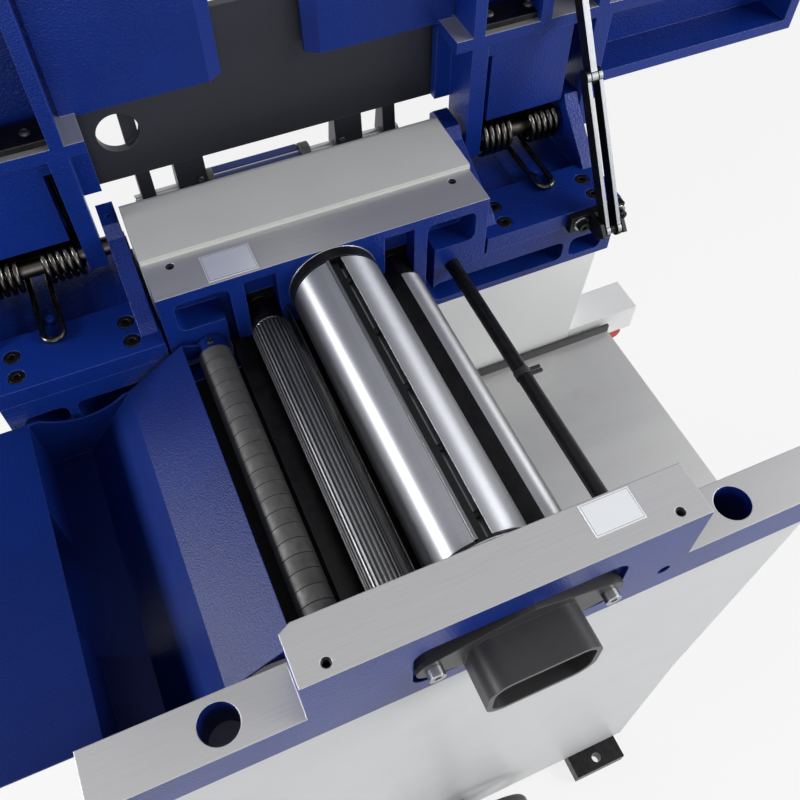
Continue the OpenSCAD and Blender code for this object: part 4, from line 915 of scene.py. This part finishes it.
@dataclass
class Fittings:
    """Fittings that are too small or thin for the solids: how they are made, and tied to a body."""

    wardrobe: Wardrobe

    def keep(self, piece: Piece, body: str, slot: str) -> None:
        """Ties a finished fitting to its body, and reports it.

        Args:
            piece: the fitting.
            body: the body that carries it.
            slot: not used.
        """
        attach(piece, body)
        LOG.info("%s on %s: %d faces", piece.name, body, len(piece.data.polygons))

    def fit(
            self, name: str, source: Piece, spots_mm: Iterable[Point], turn: Turn, finish: Finish, body: str,
            slot: str) -> None:
        """Repeats a fitting at several spots of one body, through Geometry Nodes.

        Args:
            name: the name of all of them together.
            source: the fitting about the origin, facing up; it is used up.
            spots_mm: where the fittings go.
            turn: which way they face.
            finish: what they get.
            body: the body that carries them.
            slot: handed on to keep, which does not use it.
        """
        piece = sketch(name, spots_mm)
        tree, spots, result = node_tree("repeat_" + name, {"Size": 1.0})
        fitting = add(tree, "GeometryNodeObjectInfo", {"Object": source})
        copies = add(tree, "GeometryNodeInstanceOnPoints", {
            "Points": spots.outputs["Geometry"], "Instance": fitting.outputs["Geometry"],
            "Rotation": Euler(tuple(math.radians(a) for a in turn.value)), "Scale": spots.outputs["Size"]})
        plain = add(tree, "GeometryNodeRealizeInstances", {"Geometry": copies})
        dressed = add(tree, "GeometryNodeSetMaterial", {
            "Geometry": plain, "Material": self.wardrobe.material(finish)})
        tree.links.new(dressed.outputs[0], result.inputs[0])
        grow(piece, tree, {"Size": 1.0})
        bpy.data.objects.remove(source)
        self.keep(piece, body, slot)

    def ring(self, radius_mm: float, inner_mm: float, width_mm: float, soft_mm: float = 0.3) -> Piece:
        """Makes a ring with chamfered corners, about the vertical axis.

        Args:
            radius_mm: outer radius.
            inner_mm: inner radius.
            width_mm: length along the axis.
            soft_mm: size of the corner chamfers.

        Returns:
            The ring, centred on the origin.
        """
        half = width_mm / 2
        corners = (
            (inner_mm, -half + soft_mm), (inner_mm + soft_mm, -half), (radius_mm - soft_mm, -half),
            (radius_mm, -half + soft_mm), (radius_mm, half - soft_mm), (radius_mm - soft_mm, half),
            (inner_mm + soft_mm, half), (inner_mm, half - soft_mm))
        return lathe("ring", [(r, z, False) for r, z in corners], ring=True)

    def button_screw(self, radius_mm: float) -> Piece:
        """Makes a button-head screw with a hexagon socket, facing up from its seat at the origin."""
        profile = [(r * radius_mm, z * radius_mm, hexagon) for r, z, hexagon in BUTTON_HEAD]
        return lathe("button_screw", profile, steps=24)


@dataclass
class LabelPlates(Fittings):
    """Two blank plates on the ground cheek tops, each with a plain line round its edge."""

    thick_mm: float = 0.35
    inset_mm: float = 1.6
    line_mm: float = 0.35
    soft_mm: float = 0.12
    soft_steps: int = 2
    upward: float = 0.9
    places_mm: tuple[tuple[Pair, Pair], ...] = (
        ((72.0, -189.0), (115.0, -160.5)), ((-113.5, 162.0), (-67.0, 195.0)))

    def build(self) -> None:
        """Makes the plates, each a thin sheet with rounded edges and an outline."""
        for i, (low, high) in enumerate(self.places_mm):
            top = (*high, CHEEK_TOP + self.thick_mm)
            piece = bevelled_box(f"blank_plate_{i}", (*low, CHEEK_TOP), top, self.soft_mm, self.soft_steps)
            self.wardrobe.put(piece, PLATE_ALU)
            piece.data.materials.append(self.wardrobe.material(BLACK_STEEL))
            form = bmesh.new()
            form.from_mesh(piece.data)
            face = max(form.faces, key=lambda f: f.calc_area() if f.normal.z > self.upward else 0.0)
            bmesh.ops.inset_region(form, faces=[face], thickness=self.inset_mm * MM)
            for part in bmesh.ops.inset_region(form, faces=[face], thickness=self.line_mm * MM)["faces"]:
                part.material_index = 1
            form.to_mesh(piece.data)
            form.free()
            self.keep(piece, "machine", "steel")


@dataclass
class CheekFittings(Fittings):
    """Threaded inserts in the cheeks' lifting holes, black as painted shade inside the holes, and bright
    rings on sleeves, caps and stay bolts.
    """

    hole_mm: Pair = (140.0, 195.0)
    insert_mm: Point = (3.9, 3.3, 2.6)
    insert_drop_mm: float = 0.5
    thread_turns: int = 9
    thread_pitch_mm: float = 1.25
    crest: float = 0.4
    sleeve_ring_mm: Point = (15.2, 14.2, 1.6)
    sleeve_y_mm: float = 151.2
    cap_rim_mm: Point = (44.5, 43.2, 1.2)
    cap_y_mm: float = 158.2
    washer_mm: Point = (8.4, 3.4, 1.8)
    washers_mm: tuple[Point, ...] = ((271.0, 150.4, 783.0), (315.5, 150.4, 783.0))

    def insert(self) -> Piece:
        """Makes a threaded insert.

        Returns:
            The insert, which hangs below the origin.
        """
        outside, root, inside = self.insert_mm
        top, pitch = -self.insert_drop_mm, self.thread_pitch_mm
        wall = [(outside, top), (root, top)]
        for i in range(self.thread_turns):
            wall += [(inside, top - pitch * (i + self.crest)), (root, top - pitch * (i + 1))]
        wall += [(outside, top - pitch * self.thread_turns)]
        return lathe("insert", [(r, z, False) for r, z in wall], ring=True)

    def build(self) -> None:
        """Makes the inserts and the rings."""
        x, y = self.hole_mm
        holes = [(i, j, CHEEK_TOP) for i in (-x, x) for j in (-y, y)]
        # Black inserts: painted shade inside the lifting holes
        self.fit("lifting_inserts", self.insert(), holes, Turn.UP, BLACK_STEEL, "machine", "steel")
        y = self.sleeve_y_mm
        sleeves = [(i, j, ROLLER_Z) for i in (-ROLLER_X, ROLLER_X) for j in (-y, y)]
        caps = [(0.0, self.cap_y_mm, BLOCK_Z), (0.0, -self.cap_y_mm, BLOCK_Z)]
        for name, size, spots in (
                ("sleeve_rings", self.sleeve_ring_mm, sleeves), ("cap_rims", self.cap_rim_mm, caps),
                ("stay_washers", self.washer_mm, self.washers_mm)):
            self.fit(name, self.ring(*size), spots, Turn.FRONT, PLAIN_STEEL, "machine", "steel")


@dataclass
class FenceFittings(Fittings):
    """Spacing collars on the fence's pin beside its carrier, and set screws in the fence's eyes."""

    collar_mm: Pair = (12.5, 6.4)
    collar_soft_mm: float = 0.6
    collar_ends_mm: tuple[Pair, ...] = ((-69.6, -62.4), (32.4, 43.0))
    pin_mm: Pair = (340.0, 807.0)
    screw_mm: float = 3.2
    screws_mm: tuple[Point, ...] = ((-77.0, 328.0, 822.0), (77.0, 328.0, 822.0))

    def build(self) -> None:
        """Makes the collars and the screws."""
        for i, (low, high) in enumerate(self.collar_ends_mm):
            collar = self.ring(*self.collar_mm, high - low, self.collar_soft_mm)
            spot = [((low + high) / 2, *self.pin_mm)]
            self.fit(f"fence_collar_{i}", collar, spot, Turn.RIGHT, DARK_IRON, "machine", "steel")
        screw = self.button_screw(self.screw_mm)
        self.fit("fence_set_screws", screw, self.screws_mm, Turn.FRONT, DARK_IRON, "fence", "steel")


@dataclass
class HoodFittings(Fittings):
    """Set screws in the hood's collars, and a black rubber strip below the fingers, put there as painted
    shade for the dark gap.
    """

    screw_mm: float = 3.4
    screws_mm: tuple[Point, ...] = ((-127.0, -149.0, 789.2), (-127.0, 149.0, 789.2))
    # The black strip below the fingers, painted shade for the gap: its half length and its outline in X and Z
    shade_strip_half_mm: float = 148.0
    shade_strip_mm: tuple[Pair, ...] = (
        (-154.5, 756.0), (-154.5, 738.5), (-153.0, 737.0), (-102.0, 737.0), (-101.0, 738.0), (-102.0, 739.2),
        (-151.0, 739.4), (-152.3, 740.7), (-152.3, 756.0))

    def shade_strip(self) -> Piece:
        """Makes the strip, its outline drawn out along the fingers.

        Returns:
            The strip in its place.
        """
        form = bmesh.new()
        front, back = (
            [form.verts.new((x * MM, y * MM, z * MM)) for x, z in self.shade_strip_mm]
            for y in (-self.shade_strip_half_mm, self.shade_strip_half_mm))
        for i in range(len(front)):
            j = (i + 1) % len(front)
            form.faces.new((front[i], front[j], back[j], back[i]))
        form.faces.new(front)
        form.faces.new(back)
        bmesh.ops.recalc_face_normals(form, faces=form.faces[:])
        return linked("hood_lip", form)

    def build(self) -> None:
        """Makes the screws and the strip."""
        screw = self.button_screw(self.screw_mm)
        self.fit("hood_set_screws", screw, self.screws_mm, Turn.UP, BLACK_STEEL, "hood", "black_steel")
        # A black strip standing in for the shade in the gap below the fingers: painted shade
        piece = self.shade_strip()
        self.wardrobe.put(piece, BELT_RUBBER)
        self.keep(piece, "hood", "belt_rubber")


@dataclass
class TableTrim(Fittings):
    """On each table a strip behind its slot, a black sheet behind its spring as painted shade, and a clamp
    bar with two screws.

    Places are those of the right table; the left one has them mirrored.
    """

    slot_back_mm: Box = ((206.0, 303.0, 801.0), (226.0, 306.0, 926.0))
    shade_sheet_mm: Box = ((225.5, 303.2, 801.0), (305.0, 305.8, 862.0))
    sheet_soft_mm: float = 0.8
    bar_mm: Box = ((200.0, 271.0, 947.5), (275.0, 300.0, 954.0))
    bar_soft_mm: float = 1.0
    screw_mm: float = 5.0
    screws_mm: tuple[Point, ...] = ((216.0, 286.0, 954.0), (258.0, 286.0, 954.0))

    def build(self) -> None:
        """Makes the trim of both tables."""
        for side, body in ((-1.0, "outfeed_top"), (1.0, "infeed_top")):
            for name, box, soft, finish, slot in (
                    ("slot_back", self.slot_back_mm, self.sheet_soft_mm, BLUE_CAST, "blue_casting"),
                    # Black sheet behind the spring coils: painted shade
                    ("spring_shield", self.shade_sheet_mm, self.sheet_soft_mm, BLACK_STEEL, "black_steel"),
                    ("clamp_bar", self.bar_mm, self.bar_soft_mm, BLACK_STEEL, "black_steel")):
                left, right = sorted(side * corner[0] for corner in box)
                piece = bevelled_box(f"{name}_{body}", (left, *box[0][1:]), (right, *box[1][1:]), soft)
                self.wardrobe.put(piece, finish)
                self.keep(piece, body, slot)
            spots = [(side * x, y, z) for x, y, z in self.screws_mm]
            screw = self.button_screw(self.screw_mm)
            self.fit(f"clamp_screws_{body}", screw, spots, Turn.UP, DARK_IRON, body, "steel")


@dataclass
class PanelScrews(Fittings):
    """Screws round the belt guard, the drive cover, the rear wall and the switch box."""

    rear_screw_mm: float = 5.0
    rear_y_mm: float = 289.0
    rear_mm: tuple[Pair, ...] = (
        (-64.0, 702.0), (64.0, 702.0), (62.0, 628.0), (-20.0, 330.0), (-100.0, 50.0), (-229.0, 50.0),
        (-229.0, 190.0), (-148.0, 448.0), (-150.0, 736.0), (150.0, 736.0), (-150.0, 800.0), (150.0, 800.0))
    box_screw_mm: float = 3.2
    box_y_mm: float = 183.0
    box_mm: tuple[Pair, Pair] = ((322.0, 354.0), (478.0, 540.0))

    def build(self) -> None:
        """Makes the screws of the rear and of the switch box."""
        rear = [(x, self.rear_y_mm, z) for x, z in self.rear_mm]
        screw = self.button_screw(self.rear_screw_mm)
        self.fit("rear_screws", screw, rear, Turn.REAR, BLACK_STEEL, "machine", "black_steel")
        box = [(x, self.box_y_mm, z) for x in self.box_mm[0] for z in self.box_mm[1]]
        screw = self.button_screw(self.box_screw_mm)
        self.fit("box_screws", screw, box, Turn.FRONT, BLACK_STEEL, "machine", "black_steel")


@dataclass
class PhotoCamera:
    """The camera, solved from the photograph's parallel edges."""

    place: Point = (-0.17335, -0.38879, 1.43326)
    right: Point = (0.9138, -0.4061, 0.0)
    up: Point = (0.3340, 0.7516, 0.5687)
    roll_deg: float = 0.3
    focal_px: float = 884.38
    frame_px: float = 800.0
    sensor_mm: float = 36.0
    near_m: float = 0.01

    def build(self) -> None:
        """Makes the camera and shows through it."""
        data = bpy.data.cameras.new("photo_camera")
        data.sensor_width = self.sensor_mm
        data.lens = self.focal_px * data.sensor_width / self.frame_px
        data.clip_start = self.near_m
        right, up = Vector(self.right).normalized(), Vector(self.up).normalized()
        back = right.cross(up).normalized()
        up = back.cross(right)
        turn = Matrix((right, up, back)).transposed() @ Matrix.Rotation(math.radians(self.roll_deg), 3, "Z")
        camera = bpy.data.objects.new("photo_camera", data)
        camera.matrix_world = Matrix.Translation(self.place) @ turn.to_4x4()
        bpy.context.scene.collection.objects.link(camera)
        bpy.context.scene.camera = camera
        LOG.info("camera at %s, lens %.2f mm", self.place, data.lens)


class Lamp(NamedTuple):
    """One panel of light: its name, place and size in m, and power in W."""

    name: str
    place: Point
    size: Pair
    power: float


@dataclass
class Studio:
    """A pale floor and soft light from large panels.

    The floor's own glow grows from the first floor_glow to the second over the distances glow_m.
    """

    floor_m: float = 30.0
    floor_colour: str = "#d4d4d4"
    glow_m: Pair = (1.0, 5.0)
    floor_glow: Pair = (0.8, 1.0)
    white: str = "#ffffff"
    fill: float = 0.1
    aim: Point = (0.0, 0.0, 0.8)
    lamps: tuple[Lamp, ...] = (
        Lamp("left_panel", (-2.1, 0.35, 1.45), (1.3, 0.5), 54.0),
        Lamp("right_panel", (2.2, -0.9, 1.9), (2.0, 1.2), 70.0),
        Lamp("front_panel", (-0.8, -3.0, 1.5), (2.0, 2.0), 36.0),
    )

    def floor(self) -> None:
        """Makes the floor, which shows white to the camera and keeps the object's shadow."""
        form = bmesh.new()
        bmesh.ops.create_grid(form, x_segments=1, y_segments=1, size=self.floor_m / 2)
        piece = linked("floor", form)
        material = bpy.data.materials.new("pale_floor")
        material.use_nodes = True
        tree = material.node_tree
        tree.nodes.clear()
        path = add(tree, "ShaderNodeLightPath")
        seen = add(tree, "ShaderNodeMath", {
            0: path.outputs["Is Camera Ray"], 1: path.outputs["Is Glossy Ray"]}, operation="ADD")
        place = add(tree, "ShaderNodeTexCoord")
        far = add(tree, "ShaderNodeVectorMath", {0: place.outputs["Object"]}, operation="LENGTH")
        level = add(tree, "ShaderNodeMapRange", {
            "Value": far, "From Min": self.glow_m[0], "From Max": self.glow_m[1],
            "To Min": self.floor_glow[0], "To Max": self.floor_glow[1]}, interpolation_type="SMOOTHSTEP")
        share = add(tree, "ShaderNodeMath", {0: seen, 1: level}, operation="MULTIPLY")
        matt = add(tree, "ShaderNodeBsdfDiffuse", {"Color": linear(self.floor_colour)})
        glow = add(tree, "ShaderNodeEmission", {"Color": linear(self.white)})
        both = add(tree, "ShaderNodeMixShader", {0: share, 1: matt, 2: glow})
        add(tree, "ShaderNodeOutputMaterial", {"Surface": both})
        piece.data.materials.append(material)

    def sky(self) -> None:
        """Makes the surroundings: white where they show, softer where they only light."""
        world = bpy.data.worlds.new("studio")
        bpy.context.scene.world = world
        world.use_nodes = True
        tree = world.node_tree
        tree.nodes.clear()
        path = add(tree, "ShaderNodeLightPath")
        seen = add(tree, "ShaderNodeMath", {
            0: path.outputs["Is Camera Ray"], 1: path.outputs["Is Transmission Ray"]}, operation="ADD")
        white = add(tree, "ShaderNodeMath", {
            0: seen, 1: path.outputs["Is Glossy Ray"]}, operation="ADD", use_clamp=True)
        strength = add(tree, "ShaderNodeMapRange", {"Value": white, "To Min": self.fill})
        light = add(tree, "ShaderNodeBackground", {"Color": linear(self.white), "Strength": strength})
        add(tree, "ShaderNodeOutputWorld", {"Surface": light})

    def panels(self) -> None:
        """Hangs the lamps."""
        for lamp in self.lamps:
            data = bpy.data.lights.new(lamp.name, "AREA")
            data.shape = "RECTANGLE"
            data.size, data.size_y = lamp.size
            data.energy = lamp.power
            panel = bpy.data.objects.new(lamp.name, data)
            panel.location = lamp.place
            panel.rotation_euler = (Vector(lamp.place) - Vector(self.aim)).to_track_quat("Z", "Y").to_euler()
            bpy.context.scene.collection.objects.link(panel)

    def build(self) -> None:
        """Makes the floor, the surroundings and the lamps."""
        self.floor()
        self.sky()
        self.panels()
        bpy.context.scene.view_settings.view_transform = "Standard"


def main() -> None:
    """Builds the scene in order."""
    logging.basicConfig(level=logging.INFO, format="%(name)s: %(message)s")
    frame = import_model()
    PhotoCamera().build()
    Studio().build()
    wardrobe = Wardrobe()
    wardrobe.dress_frame(frame["nodes"])
    for kind in (
            TorsionSprings, LabelPlates, CheekFittings, FenceFittings, HoodFittings, TableTrim, PanelScrews):
        kind(wardrobe).build()


if __name__ == "__main__":
    main()
